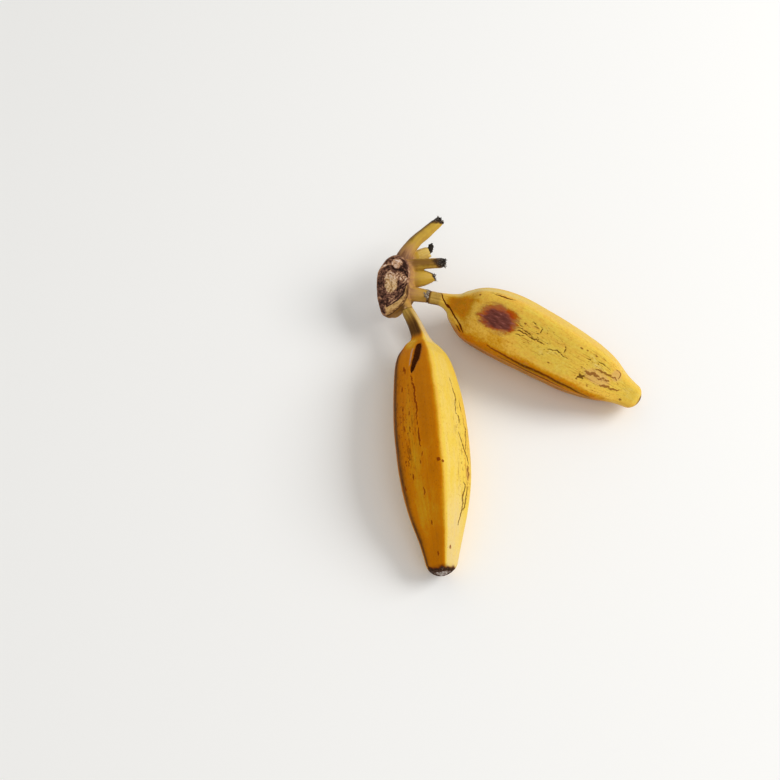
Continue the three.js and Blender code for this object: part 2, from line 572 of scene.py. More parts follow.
class PeelSheet(NodeSheet):
    """Waxy banana peel: pale to deep amber by ripeness and painted shade, with flecks, cracks, corky
    scratches and bruises.
    """

    def __init__(self, finish: PeelFinish) -> None:
        """Starts the material, with coordinates along the straightened fruit and the noise of its pores."""
        super().__init__(finish.name)
        self.finish = finish
        self.grain = self.vector("grain")
        self.pores = self.noise(self.grain, 2400, 2)
        self.where = self.node("ShaderNodeTexCoord").outputs["Object"]

    def built(self) -> bpy.types.Material:
        """Builds the material from the attributes of a fruit's mesh."""
        colour, rough = self.marks(self.worn(self.clean()))
        return self.surface({
            "Base Color": colour,
            "Roughness": rough,
            "Normal": self.bump(self.height(), 0.0006),
            "Specular IOR Level": 0.15,
            "Specular Tint": tone("ffc866"),
            "Subsurface Weight": 0.05,
            "Subsurface Radius": (0.004, 0.002, 0.0006),
            "Subsurface Scale": 1.0,
        })

    def clean(self) -> bpy.types.NodeSocket:
        """Colours the clean peel and the drier skin of the neck.

        Returns:
            The socket with the colour.
        """
        mottled = self.finish.mottled
        mottle = self.noise(self.grain, 95, 5)
        blotch = self.strands(self.grain, 0.6, 340, 4)
        fibre = self.strands(self.grain, 0.07, 620, 4)
        grit = self.noise(self.grain, 1000, 3, 0.65)
        # The stored ripeness also holds painted shade and painted highlights.
        ripe = self.sum(
            (self.number("ripeness"), 1.0), (mottle, 0.26 * mottled), (blotch, 0.24 * mottled),
            (fibre, 0.18), (grit, 0.16 * mottled), (self.pores, 0.1), (0.33 * mottled + 0.14, -1.0))
        peel = self.ramp(ripe, [
            (0.0, "d4bc92"),
            (0.14, "e0c472"),
            (0.28, "dfbf4a"),
            (0.44, "e3b446"),
            (0.57, "cc9214"),
            *zip((0.68, 0.8, 0.9), self.finish.deep),
            (1.0, "4e2e12"),
        ])
        dry = self.ramp(ripe, [(0.1, "ccb27c"), (0.4, "b89646"), (0.7, "7c5824"), (1.0, "4a2c12")])
        neck = self.mask("neck", 0.2, 0.8, (fibre, 0.4), (0.2, -1.0))
        dusty = self.times(self.step(grit, 0.4, 0.68), 0.24 * mottled**2)
        return self.stain(dusty, self.blend(neck, peel, dry), "d4b088")

    def worn(self, colour: object) -> bpy.types.NodeSocket:
        """Adds what handling leaves: speckles, flecks, streaks along the fruit and hairline cracks.

        Args:
            colour: Colour of the clean peel.

        Returns:
            The socket with the colour.
        """
        scuff = self.number("scuff")
        some = self.step(self.noise(self.grain, 130, 3), 0.4, 0.62)
        speckles = self.dots(self.grain, 850, 0.34, 0.4)
        flecks = self.dots(self.stretch(self.grain, 0.4), 360, 0.2, 0.3)
        streaks = self.step(self.strands(self.grain, 0.08, 1200, 3), 0.59, 0.7)
        off = self.math("SUBTRACT", self.strands(self.grain, 0.12, 420, 3), 0.5)
        thin = self.step(self.math("ABSOLUTE", off), 0.02, 0.005)
        hairs = self.times(thin, self.step(self.noise(self.grain, 420, 2), 0.48, 0.58))
        wear = (
            (speckles, self.sum((scuff, 0.45), (some, 0.3), (0.04, 1.0)), "c08a58"),
            (flecks, self.sum((scuff, 0.7), (0.12, 1.0)), "a06038"),
            (streaks, self.sum((scuff, 0.6), (0.08, 1.0)), "a46838"),
            (hairs, self.times(scuff, 0.9), "8a5030"),
        )
        for pattern, strength, tint in wear:
            colour = self.stain(self.times(pattern, strength), colour, tint)
        return colour

    def marks(self, colour: object) -> tuple[bpy.types.NodeSocket, bpy.types.NodeSocket]:
        """Draws the marks over the peel.

        Args:
            colour: Colour of the peel under them.

        Returns:
            Sockets with the colour and the roughness.
        """
        ragged = self.sum((self.noise(self.grain, 900, 3), 0.6), (self.pores, 0.4), (0.5, -1.0))
        gaps = self.step(self.noise(self.grain, 340, 3), 0.34, 0.44)
        seam = self.mask(Mark.SEAM.value, 0.2, 0.75, (ragged, 0.7))
        colour = self.stain(self.times(seam, 0.9), colour, "8c5226")
        halo = self.mask("corky", 0.0, 0.7, (ragged, 1.6), (self.pores, 0.6), (0.3, -1.0))
        colour = self.blend(self.times(halo, 0.6), colour, self.finish.cork)
        scratch = self.times(self.mask(Mark.SCRATCH.value, 0.42, 0.66, (ragged, 1.1)), gaps)
        colour = self.blend(self.times(scratch, 0.85), colour, self.finish.scratch)
        crack = self.times(self.mask(Mark.CRACK.value, 0.34, 0.74, (ragged, 1.3)), gaps)
        colour = self.blend(self.times(crack, 0.92), colour, "5a3208")
        colour = self.bruise(ragged, colour)
        lip = self.mask(Mark.LIP.value, 0.3, 0.7, (ragged, 0.5))
        pale = self.ramp(self.pores, [(0.35, "a07c68"), (0.65, "c8ae98")])
        colour = self.blend(self.times(lip, 0.65), colour, pale)
        edge = self.mask(Mark.SLIT.value, 0.24, 0.45, (ragged, 0.3))
        colour = self.blend(self.times(edge, 0.5), colour, "84400e")
        slit = self.mask(Mark.SLIT.value, 0.42, 0.58, (ragged, 0.35))
        inside = self.stain(self.step(self.pores, 0.65, 0.35), self.finish.slit, "a08070")
        colour = self.blend(slit, colour, inside)
        crumbs = self.noise(self.where, 900, 4)
        scab = self.sum((self.number("scab"), 1.0), (crumbs, 0.6), (0.3, -1.0))
        crust = self.sum((crumbs, 1.0), (self.number("blossom"), 0.3), (0.1, -1.0))
        crust = self.ramp(crust, [(0.3, "2a1a12"), (0.52, "4e362a"), (0.66, "8c7c72"), (0.84, "d4ccc6")])
        colour = self.stain(self.mask("scab", 0.0, 0.6), colour, "8c5c3c")
        colour = self.blend(self.step(scab, 0.36, 0.7), colour, crust)
        matt = self.largest(self.step(scab, 0.3, 0.6), self.largest(slit, scratch))
        rough = self.sum((0.4, 1.0), (matt, 0.4), (self.noise(self.grain, 160, 3), 0.16), (self.pores, 0.08))
        return colour, rough

    def bruise(self, ragged: object, colour: object) -> bpy.types.NodeSocket:
        """Draws the sunken bruise: a red rim with a dark streaked middle.

        Args:
            ragged: Noise that frays its edge.
            colour: Colour of the peel around it.

        Returns:
            The socket with the colour.
        """
        streaks = self.strands(self.grain, 0.3, 1000, 4)
        patchy = self.strands(self.grain, 0.6, 300, 4)
        rim = self.sum(
            (self.number("bruise"), 1.0), (ragged, 0.4), (streaks, 0.2), (patchy, 0.7), (0.47, -1.0))
        middle = self.mask(
            "bruise_middle", -0.1, 0.42, (ragged, 0.3), (streaks, 0.6), (patchy, 1.1), (0.85, -1.0))
        red = self.ramp(rim, [(0.0, "b88430"), (0.1, "b0600c"), (0.22, "b0440c"), (0.5, "903018")])
        dull = self.ramp(rim, [(0.0, "bc9040"), (0.14, "aa6a34"), (0.3, "ae5c30"), (0.5, "9c4c38")])
        rimmed = self.blend(self.step(self.noise(self.grain, 260, 3), 0.42, 0.56), red, dull)
        dark = self.ramp(streaks, [(0.34, "542a26"), (0.5, "6a3630"), (0.62, "7c443c"), (0.72, "a4665a")])
        colour = self.blend(self.step(rim, -0.16, 0.1), colour, rimmed)
        return self.blend(middle, colour, dark)

    def height(self) -> bpy.types.NodeSocket:
        """Fine relief of the peel: fibres along the fruit, pores, and marks cut in or crusted on.

        Returns:
            The socket with the height, in shares of the bump's depth.
        """
        fibre = self.strands(self.grain, 0.05, 800, 3)
        crust = self.times(self.number("scab"), self.noise(self.where, 1100, 4))
        return self.sum(
            (self.pores, 0.05), (fibre, 0.16), (self.noise(self.grain, 300, 3), 0.14), (crust, 0.9),
            (self.number(Mark.CRACK.value), -0.3), (self.number(Mark.SCRATCH.value), 0.12))


class CrownSheet(NodeSheet):
    """Drying crown: smooth ochre stalks, a dark fibrous cut and blackened broken ends."""

    def __init__(self) -> None:
        """Starts the material, with coordinates along the straightened stalks and three noises."""
        super().__init__("crown_stalk")
        self.strand = self.vector("strand")
        self.fibre = self.strands(self.strand, 0.1, 700, 4)
        self.speck = self.noise(self.strand, 1500, 3)
        self.mottle = self.noise(self.strand, 180, 4)

    def built(self) -> bpy.types.Material:
        """Builds the material from the attributes of the crown's mesh.

        Returns:
            The finished material.
        """
        cut = self.number("cut")
        black = self.number("black")
        height = self.sum((self.fibre, 0.35), (self.speck, 0.2), (self.times(cut, self.speck), 0.9))
        return self.surface({
            "Base Color": self.charred(self.blend(self.step(cut, 0.3, 0.7), self.stalk(), self.cut_face())),
            "Roughness": self.sum((0.5, 1.0), (cut, 0.35), (black, 0.3), (self.mottle, 0.15)),
            "Normal": self.bump(height, 0.0007),
            "Specular IOR Level": 0.22,
        })

    def stalk(self) -> bpy.types.NodeSocket:
        """Colours the stalks, from brown at the pad to yellow, with a brown side that is partly painted
        shade, and a pale callus.

        Returns:
            The socket with the colour.
        """
        age = self.sum((self.number("yellow"), 1.0), (self.fibre, 0.6), (self.mottle, 0.6), (0.6, -1.0))
        stalk = self.ramp(age, [
            (0.0, "7a5232"),
            (0.2, "a47646"),
            (0.42, "b48840"),
            (0.65, "b99234"),
            (0.85, "c6a034"),
            (1.0, "d8b862"),
        ])
        # Darker brown side: partly the stalk's own brown, partly painted shade.
        shade = self.mask("brown", 0.1, 1.0, (self.fibre, 0.6), (0.3, -1.0))
        stalk = self.stain(self.times(shade, 0.85), stalk, "a08858")
        callus = self.mask("callus", 0.25, 0.7, (self.speck, 0.8), (0.4, -1.0))
        return self.blend(
            callus, stalk, self.ramp(self.speck, [(0.36, "46362a"), (0.52, "80705c"), (0.68, "b0a492")]))

    def cut_face(self) -> bpy.types.NodeSocket:
        """Colours the cut face, from dark flesh to pale fibre, with duller rind.

        Returns:
            The socket with the colour.
        """
        grit = self.noise(self.strand, 950, 5, 0.7)
        face = self.sum((self.number("face"), 1.0), (self.speck, 0.9), (grit, 1.2), (1.04, -1.0))
        cut = self.ramp(face, [
            (0.0, "26120a"),
            (0.2, "462a1c"),
            (0.42, "7a5240"),
            (0.62, "b08460"),
            (0.82, "d2a884"),
            (1.0, "ecd4c2"),
        ])
        dull = self.ramp(face, [(0.1, "5e3a18"), (0.45, "a87c46"), (0.8, "cfa662")])
        return self.blend(self.times(self.number("rind"), 0.85), cut, dull)

    def charred(self, colour: object) -> bpy.types.NodeSocket:
        """Blackens the broken ends over the given colour.

        Args:
            colour: Colour under the black.

        Returns:
            The socket with the colour.
        """
        burnt = self.sum((self.number("black"), 1.0), (self.speck, 0.5), (self.mottle, 0.5), (0.5, -1.0))
        singed = self.stain(self.step(burnt, 0.05, 0.5), colour, "7a6a62")
        char = self.ramp(
            self.speck, [(0.35, "120c08"), (0.56, "2a2018"), (0.64, "80766a"), (0.72, "ccc4b8")])
        return self.blend(self.step(burnt, 0.42, 0.85), singed, char)


def fibre_material(name: str) -> bpy.types.Material:
    """Dry skin and threads, from black to straw by the paleness that is stored on the mesh.

    Args:
        name: Name of the material.

    Returns:
        The material.
    """
    sheet = NodeSheet(name)
    where = sheet.node("ShaderNodeTexCoord").outputs["Object"]
    pale = sheet.sum((sheet.number("pale"), 1.0), (sheet.noise(where, 1200, 3), 0.4), (0.2, -1.0))
    colour = sheet.ramp(pale, [(0.0, "120c08"), (0.4, "33261c"), (0.7, "8c8072"), (1.0, "d8d0c4")])
    return sheet.surface({"Base Color": colour, "Roughness": 0.8})


def floor_material() -> bpy.types.Material:
    """Plain matt off-white of a studio floor."""
    inputs = {"Base Color": tone("f4f3f0"), "Roughness": 0.9, "Specular IOR Level": 0.1}
    return NodeSheet("studio_floor").surface(inputs)


@dataclass(frozen=True)
class Line:
    """A mark drawn along the peel.

    Attributes:
        kind: What it is.
        path: Places that it runs through, each a share along the fruit and an angle around it.
        half_mm: Half its width where it is widest.
        wander_mm: How far it strays from the path.
        blunt: How little it narrows towards its ends, from 0, pointed, to 1, even.
        widest: Share of its length where it is widest.
        taper: How much narrower its far end is than its near end, from 0, as wide, to 1, pointed.
    """

    kind: Mark
    path: tuple[tuple[float, float], ...]
    half_mm: float
    wander_mm: float
    blunt: float = 0.4
    widest: float = 0.5
    taper: float = 0.0


@dataclass(frozen=True)
class Tint:
    """A stretch of peel that is riper or paler than the rest; some are its own colour, some painted shade and
    some painted highlights.

    Attributes:
        shares: From where to where along the fruit.
        angles: From which to which angle around it.
        amount: Ripeness that it adds.
        soft_share: Length over which it fades.
        soft_angle: Angle over which it fades.
    """

    shares: tuple[float, float]
    angles: tuple[float, float]
    amount: float
    soft_share: float
    soft_angle: float


@dataclass(frozen=True)
class Oval:
    """An oval place on the peel.

    Attributes:
        share: Where its middle is along the fruit.
        angle: Where its middle is around it.
        half_length_mm: Half its size along the fruit.
        half_width_mm: Half its size around it.
    """

    share: float
    angle: float
    half_length_mm: float
    half_width_mm: float


@dataclass
class Fruit:
    """One banana: a rounded polygon carried along a smooth path, with its marks.

    Attributes:
        node: Solid that it stands for.
        stations: Path from neck to blossom end, each x, y, z and half width.
        facets: Directions that its flat sides face, seen from the neck, 90 being up.
        sharpness: How sharp its ridges are.
        finish: Its peel.
        ripeness: Ripeness of the plain peel, from 0, cream, to 1, brown.
        tints_and_painted_light: Riper and paler stretches, some of them painted shade and painted highlights.
        lines: Cracks, scratches and slits.
        spots: Small dark spots, drawn as scratches are.
        scuffs: Places with more flecks.
        corky: Places with drier, pinkish skin.
        bruise: Bruises, the rim first and its dark middle second.
        neck_share: Where the brown of the neck ends.
        scab_share: Where the dry blossom end starts.
        seed: Number that picks its random details.
        slit_mm: Depth of its slits.
        rows: Rings along it.
        columns: Points around it.
        ring_crowding: How much closer its rings lie at the tip than at the neck, 1 being even.
        tip_rounding: Share of its length over which the blossom end rounds off.
        evening: Share of its length that its path is averaged over.
        seam_angle: Angle where its grid closes.
        crowding: How much closer the columns lie on top than at the seam.
    """

    node: str
    stations: tuple[tuple[float, float, float, float], ...]
    facets: tuple[float, ...]
    sharpness: float
    finish: PeelFinish
    ripeness: float
    tints_and_painted_light: tuple[Tint, ...]
    lines: tuple[Line, ...]
    spots: tuple[Oval, ...]
    scuffs: tuple[Oval, ...]
    corky: tuple[Oval, ...]
    bruise: tuple[Oval, ...]
    neck_share: float
    scab_share: float
    seed: int
    slit_mm: float
    rows: int = 300
    columns: int = 310
    ring_crowding: float = 1.25
    tip_rounding: float = 0.036
    evening: float = 0.035
    seam_angle: float = 270.0
    crowding: float = 0.35

    def grid(self) -> tuple[np.ndarray, np.ndarray]:
        """Lays out the grid, with closer rings at the tip and closer columns on top.

        Returns:
            Shares along the fruit and angles around it, each rows by columns.
        """
        step = np.linspace(0, 1, self.rows + 1)[:-1]
        share = 1 - (1 - step) ** self.ring_crowding
        turn = np.arange(self.columns) / self.columns
        turn = turn + self.crowding * np.sin(2 * np.pi * turn) / (2 * np.pi)
        angle = self.seam_angle + 360 * turn
        return np.meshgrid(share, angle, indexing="ij")

    def axes(self, share: np.ndarray) -> tuple[np.ndarray, ...]:
        """Follows the path, averaged over a short stretch so that the shoulder has no crease.

        Args:
            share: Places along it.

        Returns:
            Points, half widths, and directions ahead, to the right and over.
        """
        places, back = np.unique(share, return_inverse=True)
        back = back.reshape(share.shape)
        spread = self.evening * np.minimum(1, np.minimum(places, 1 - places) / EVENED_END)
        offsets = np.linspace(-0.9, 0.9, 9)
        weights = (1 - np.abs(offsets)) / (1 - np.abs(offsets)).sum()
        nearby = through(np.array(self.stations), places[:, None] + spread[:, None] * offsets)
        value, slope = (np.einsum("k,ikj->ij", weights, each) for each in nearby)
        ahead, right, over = axes_along(slope[:, :3])
        return value[back, :3], value[back, 3], ahead[back], right[back], over[back]

    def surface(self, share: np.ndarray, angle: np.ndarray,
                relief_mm: np.ndarray | float = 0.0) -> tuple[np.ndarray, np.ndarray]:
        """Works out points of the peel.

        A point is the path's point plus r (right cos a + over sin a), with r the half width times the
        rounded polygon's distance at angle a, closed at the tip by a quarter circle, plus the relief. The
        ridges are about half as sharp at both ends, and the belly is cut off flat at the table.

        Args:
            share: Places along the fruit.
            angle: Angles around it.
            relief_mm: How far the peel stands out there.

        Returns:
            The points and their distances from the path.
        """
        centre, half, _, right, over = self.axes(share)
        from_tip = np.clip((1 - share) / self.tip_rounding, 0, 1)
        closing = np.sqrt(1 - (1 - from_tip) ** 2)
        sharp = self.sharpness * (0.55 + 0.45 * rise(share, 0.02, 0.3) * rise(share, 1.0, 0.85))
        radius = half * polygon_radius(angle, self.facets, sharp) * closing + relief_mm * closing
        points = centre + radius[..., None] * outward(np.radians(angle), right, over)
        points[..., 2] = np.maximum(points[..., 2], 0.0)
        return points, radius

    def straightened(self, share: np.ndarray, angle: np.ndarray) -> np.ndarray:
        """Straightens the fruit into a cylinder of its largest half width, as long as its path.

        Args:
            share: Places along the fruit.
            angle: Angles around it.

        Returns:
            Coordinates of a pattern that follows the peel.
        """
        spine = self.axes(np.linspace(0, 1, PATH_SAMPLES))[0]
        length = np.linalg.norm(np.diff(spine, axis=0), axis=1).sum()
        radius = np.array(self.stations)[:, 3].max()
        turn = np.radians(angle)
        return np.stack([radius * np.cos(turn), radius * np.sin(turn), length * share], axis=-1)

    def line_field(self, line: Line, points: np.ndarray, order: int) -> np.ndarray:
        """Measures a line on the peel: 1 on it, a half at its edge and 0 at twice its half width.

        Args:
            line: The line.
            points: Points of the peel, one per row.
            order: Number of the line, which picks how it strays.

        Returns:
            The measure at each point.
        """
        ends = np.array(line.path)
        reach = np.linalg.norm(np.diff(self.surface(*ends.T)[0], axis=0), axis=1).sum()
        t = np.linspace(0, 1, LINE_SAMPLES + int(reach / LINE_STEP_MM))
        course = through(ends, t)[0]
        samples = self.surface(course[:, 0], course[:, 1])[0]
        phase = np.array(STRAY_STARTS) * (order + self.seed)
        sway = np.sin(np.outer(t * reach, STRAY_WAVES) + phase) @ np.array(STRAY_SHARES)
        _, _, _, right, over = self.axes(course[:, 0])
        turn = np.radians(course[:, 1])[:, None]
        around = -np.sin(turn) * right + np.cos(turn) * over
        samples = samples + line.wander_mm * sway[:, None] * around
        swell = np.sin(np.pi * t ** (np.log(0.5) / np.log(line.widest)))
        blunt = line.blunt * (1 - line.taper * t)
        width = line.half_mm * (blunt + (1 - blunt) * swell)
        distance, number = nearest(points, samples, 2 * line.half_mm + 1)
        return np.clip(1 - distance / (2 * width[number]), 0, 1)

    def oval_field(self, oval: Oval, points: np.ndarray) -> np.ndarray:
        """Measures an oval on the peel: 1 in its middle, 0 at its edge and less outside, down to -1.

        Args:
            oval: The oval.
            points: Points of the peel, one per row.

        Returns:
            The measure at each point.
        """
        share = np.array([oval.share])
        centre = self.surface(share, np.array([oval.angle]))[0][0]
        _, _, ahead, right, over = (axis[0] for axis in self.axes(share))
        turn = np.radians(oval.angle)
        around = -np.sin(turn) * right + np.cos(turn) * over
        offset = points - centre
        across = np.linalg.norm(offset - np.outer(offset @ ahead, ahead), axis=1)
        across = np.maximum(across, np.abs(offset @ around))
        reach = np.hypot(offset @ ahead / oval.half_length_mm, across / oval.half_width_mm)
        return np.maximum(1 - reach, -1)

    def ripeness_and_painted_light_field(self, share: np.ndarray, angle: np.ndarray) -> np.ndarray:
        """Adds up the tints: each fades in and out along the fruit and around it.

        Args:
            share: Places along the fruit.
            angle: Angles around it.

        Returns:
            Ripeness at each place, holding painted shade and painted highlights as well as the peel's own
            colour.
        """
        total = np.full(share.shape, self.ripeness)
        for tint in self.tints_and_painted_light:
            first, last = tint.shares
            along = rise(share, first - tint.soft_share, first + tint.soft_share)
            along = along * rise(share, last + tint.soft_share, last - tint.soft_share)
            middle = sum(tint.angles) / 2
            aside = apart(angle, middle)
            half = (tint.angles[1] - tint.angles[0]) / 2
            total += tint.amount * along * rise(aside, half + tint.soft_angle, half - tint.soft_angle)
        return total

    def fields(self, share: np.ndarray, angle: np.ndarray) -> dict[str, np.ndarray]:
        """Works out every attribute of the peel.

        Args:
            share: Places along the fruit, one per point.
            angle: Angles around it.

        Returns:
            The attributes by name.
        """
        points = self.surface(share, angle)[0]
        straight = self.straightened(share, angle)
        made = {"grain": straight * MM, "ripeness": self.ripeness_and_painted_light_field(share, angle)}
        for kind in Mark:
            chosen = [(i, line) for i, line in enumerate(self.lines) if line.kind is kind]
            drawn = [self.line_field(line, points, i) for i, line in chosen]
            if kind is Mark.SCRATCH:
                drawn += [np.clip(0.5 + self.oval_field(spot, points), 0, 1) for spot in self.spots]
            made[kind.value] = largest_field(drawn, len(points))
        scuffs = [rise(self.oval_field(scuff, points), 0, 0.6) for scuff in self.scuffs]
        made["scuff"] = largest_field(scuffs, len(points))
        corky = [rise(self.oval_field(oval, points), 0, 0.7) for oval in self.corky]
        made["corky"] = largest_field(corky, len(points))
        nowhere = np.full(len(points), -1.0)
        bruises = [self.oval_field(oval, points) for oval in self.bruise]
        made["bruise"], made["bruise_middle"] = bruises or (nowhere, nowhere)
        made["neck"] = rise(share, self.neck_share, 0.4 * self.neck_share)
        frayed = share + 0.004 * cloud(points, 2.2, self.seed)
        made["scab"] = rise(frayed, self.scab_share - 0.014, self.scab_share + 0.009)
        on_top = rise(apart(angle, 95), 80, 40)
        made["blossom"] = rise(frayed, self.scab_share + 0.006, self.scab_share + 0.014) * on_top
        return made

    def relief(self, share: np.ndarray, angle: np.ndarray, fields: dict[str, np.ndarray]) -> np.ndarray:
        """Relief of the peel: swells, ribs on the neck, slits, cracks, cork, a bruise and a crusty tip.

        Args:
            share: Places along the fruit, one per point.
            angle: Angles around it.
            fields: Attributes of the peel.

        Returns:
            Millimetres that the peel stands out at each point.
        """
        straight = fields["grain"] / MM
        swell = 0.3 * cloud(straight, 17.0, self.seed) + 0.1 * cloud(straight, 6.0, self.seed + 1)
        strayed = np.radians(11 * angle) + 2.5 * cloud(straight * [1.0, 1.0, 0.3], 9.0, self.seed + 5)
        ribs = 0.14 * np.cos(strayed) * rise(share, 0.26, 0.08) * rise(share, 0.0, 0.03)
        slit = -self.slit_mm * rise(fields[Mark.SLIT.value], 0.25, 0.8)
        wrinkles = 0.5 + 0.5 * cloud(straight * [1.0, 1.0, 0.2], 1.1, self.seed + 2)
        bruise = rise(fields["bruise"], 0.0, 0.5) * (-0.45 * wrinkles - 0.15)
        lumps = cloud(self.surface(share, angle)[0], 1.0, self.seed + 3)
        crust = fields["scab"] * (0.25 * lumps - 0.15)
        creases = -0.14 * fields[Mark.CRACK.value] - 0.2 * fields[Mark.SEAM.value]
        cork = 0.1 * fields[Mark.SCRATCH.value] + fields["corky"] * (0.12 + 0.08 * lumps)
        return swell + ribs + slit + bruise + crust + creases + cork

    def build(self) -> bpy.types.Object:
        """Makes the peel, stores its attributes and puts it in place of its solid.

        Returns:
            The finished piece.
        """
        share, angle = self.grid()
        ends = np.array([0.0, 1.0])
        all_share = np.append(share.ravel(), ends)
        all_angle = np.append(angle.ravel(), [90.0, 90.0])
        fields = self.fields(all_share, all_angle)
        relief = self.relief(all_share, all_angle, fields)[:-2].reshape(share.shape)
        rings = self.surface(share, angle, relief)[0]
        start, end = self.axes(ends)[0]
        skin = Skin(rings, start, end)
        piece = new_mesh(f"{self.node}_peel", place(skin.points()), skin.faces())
        for name, values in fields.items():
            store(piece, name, values)
        piece.data.materials.append(PeelSheet(self.finish).built())
        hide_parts(self.node)
        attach(piece, BODY)
        return piece


@dataclass
class Stalk:
    """A stub or a socket of the crown.

    Attributes:
        stations: Path from inside the crown to its end, each x, y, z and half width.
        black_mm: How far back from its end a broken stub is blackened, or 0 for a socket.
        brown_and_shade_angle: Direction around it that its brown side faces; that side is partly the stalk's
            own brown and partly painted shade.
        yellow: How yellow it is half way along.
        ring: How dark the ring around its end is.
        callus: How much pale callus lies on top of its end.
        rows: Rings along it.
        columns: Points around it.
    """

    stations: tuple[tuple[float, float, float, float], ...]
    black_mm: float
    brown_and_shade_angle: float
    yellow: float
    ring: float = 0.0
    callus: float = 0.0
    rows: int = 60
    columns: int = 40

    def follow(self, share: np.ndarray) -> tuple[np.ndarray, ...]:
        """Follows the path.

        Args:
            share: Places along it.

        Returns:
            Points, half widths, and directions ahead, to the right and over.
        """
        value, slope = through(np.array(self.stations), share)
        return value[..., :3], value[..., 3], *axes_along(slope[..., :3])

    def skin(self) -> Skin:
        """Carries a circle along the path, with a ragged, hollow far end if it is a broken stub.

        Returns:
            The skin, a little longer or shorter by a random length at each side of a broken end.
        """
        share, turn = ring_grid(self.rows, self.columns)
        centre, half, ahead, right, over = self.follow(share)
        aside = outward(turn, right, over)
        rings = centre + half[..., None] * aside
        torn = min(1.0, self.black_mm) * rise(share, 0.9, 1.0)
        rings = rings + (torn * (1.3 * cloud(rings[-1], 1.7, 17) - 0.3))[..., None] * ahead
        rings = rings - (0.12 * torn * half)[..., None] * aside
        return Skin(rings, centre[0, 0], centre[-1, 0] - 0.8 * torn[-1, 0] * ahead[-1, 0])

    def measure(self, points: np.ndarray) -> tuple[np.ndarray, ...]:
        """Finds where points lie on the stalk.

        Args:
            points: Points of the crown, one per row.

        Returns:
            Distance from the path in half widths, share along it, angle around it, millimetres from its
            end, and a straightened place for patterns.
        """
        share = np.linspace(0, 1, STALK_SAMPLES)
        centre, half, ahead, right, over = self.follow(share)
        distance, number = nearest(points, centre, ANYWHERE_MM)
        offset = points - centre[number]
        angle = np.degrees(np.arctan2((offset * over[number]).sum(1), (offset * right[number]).sum(1)))
        from_start = np.append(0, np.cumsum(np.linalg.norm(np.diff(centre, axis=0), axis=1)))
        along = from_start[number] + (offset * ahead[number]).sum(1)
        turn = np.radians(angle)
        straight = np.stack([STALK_MM * np.cos(turn), STALK_MM * np.sin(turn), along], axis=1)
        return distance / half[number], share[number], angle, from_start[-1] - along, straight


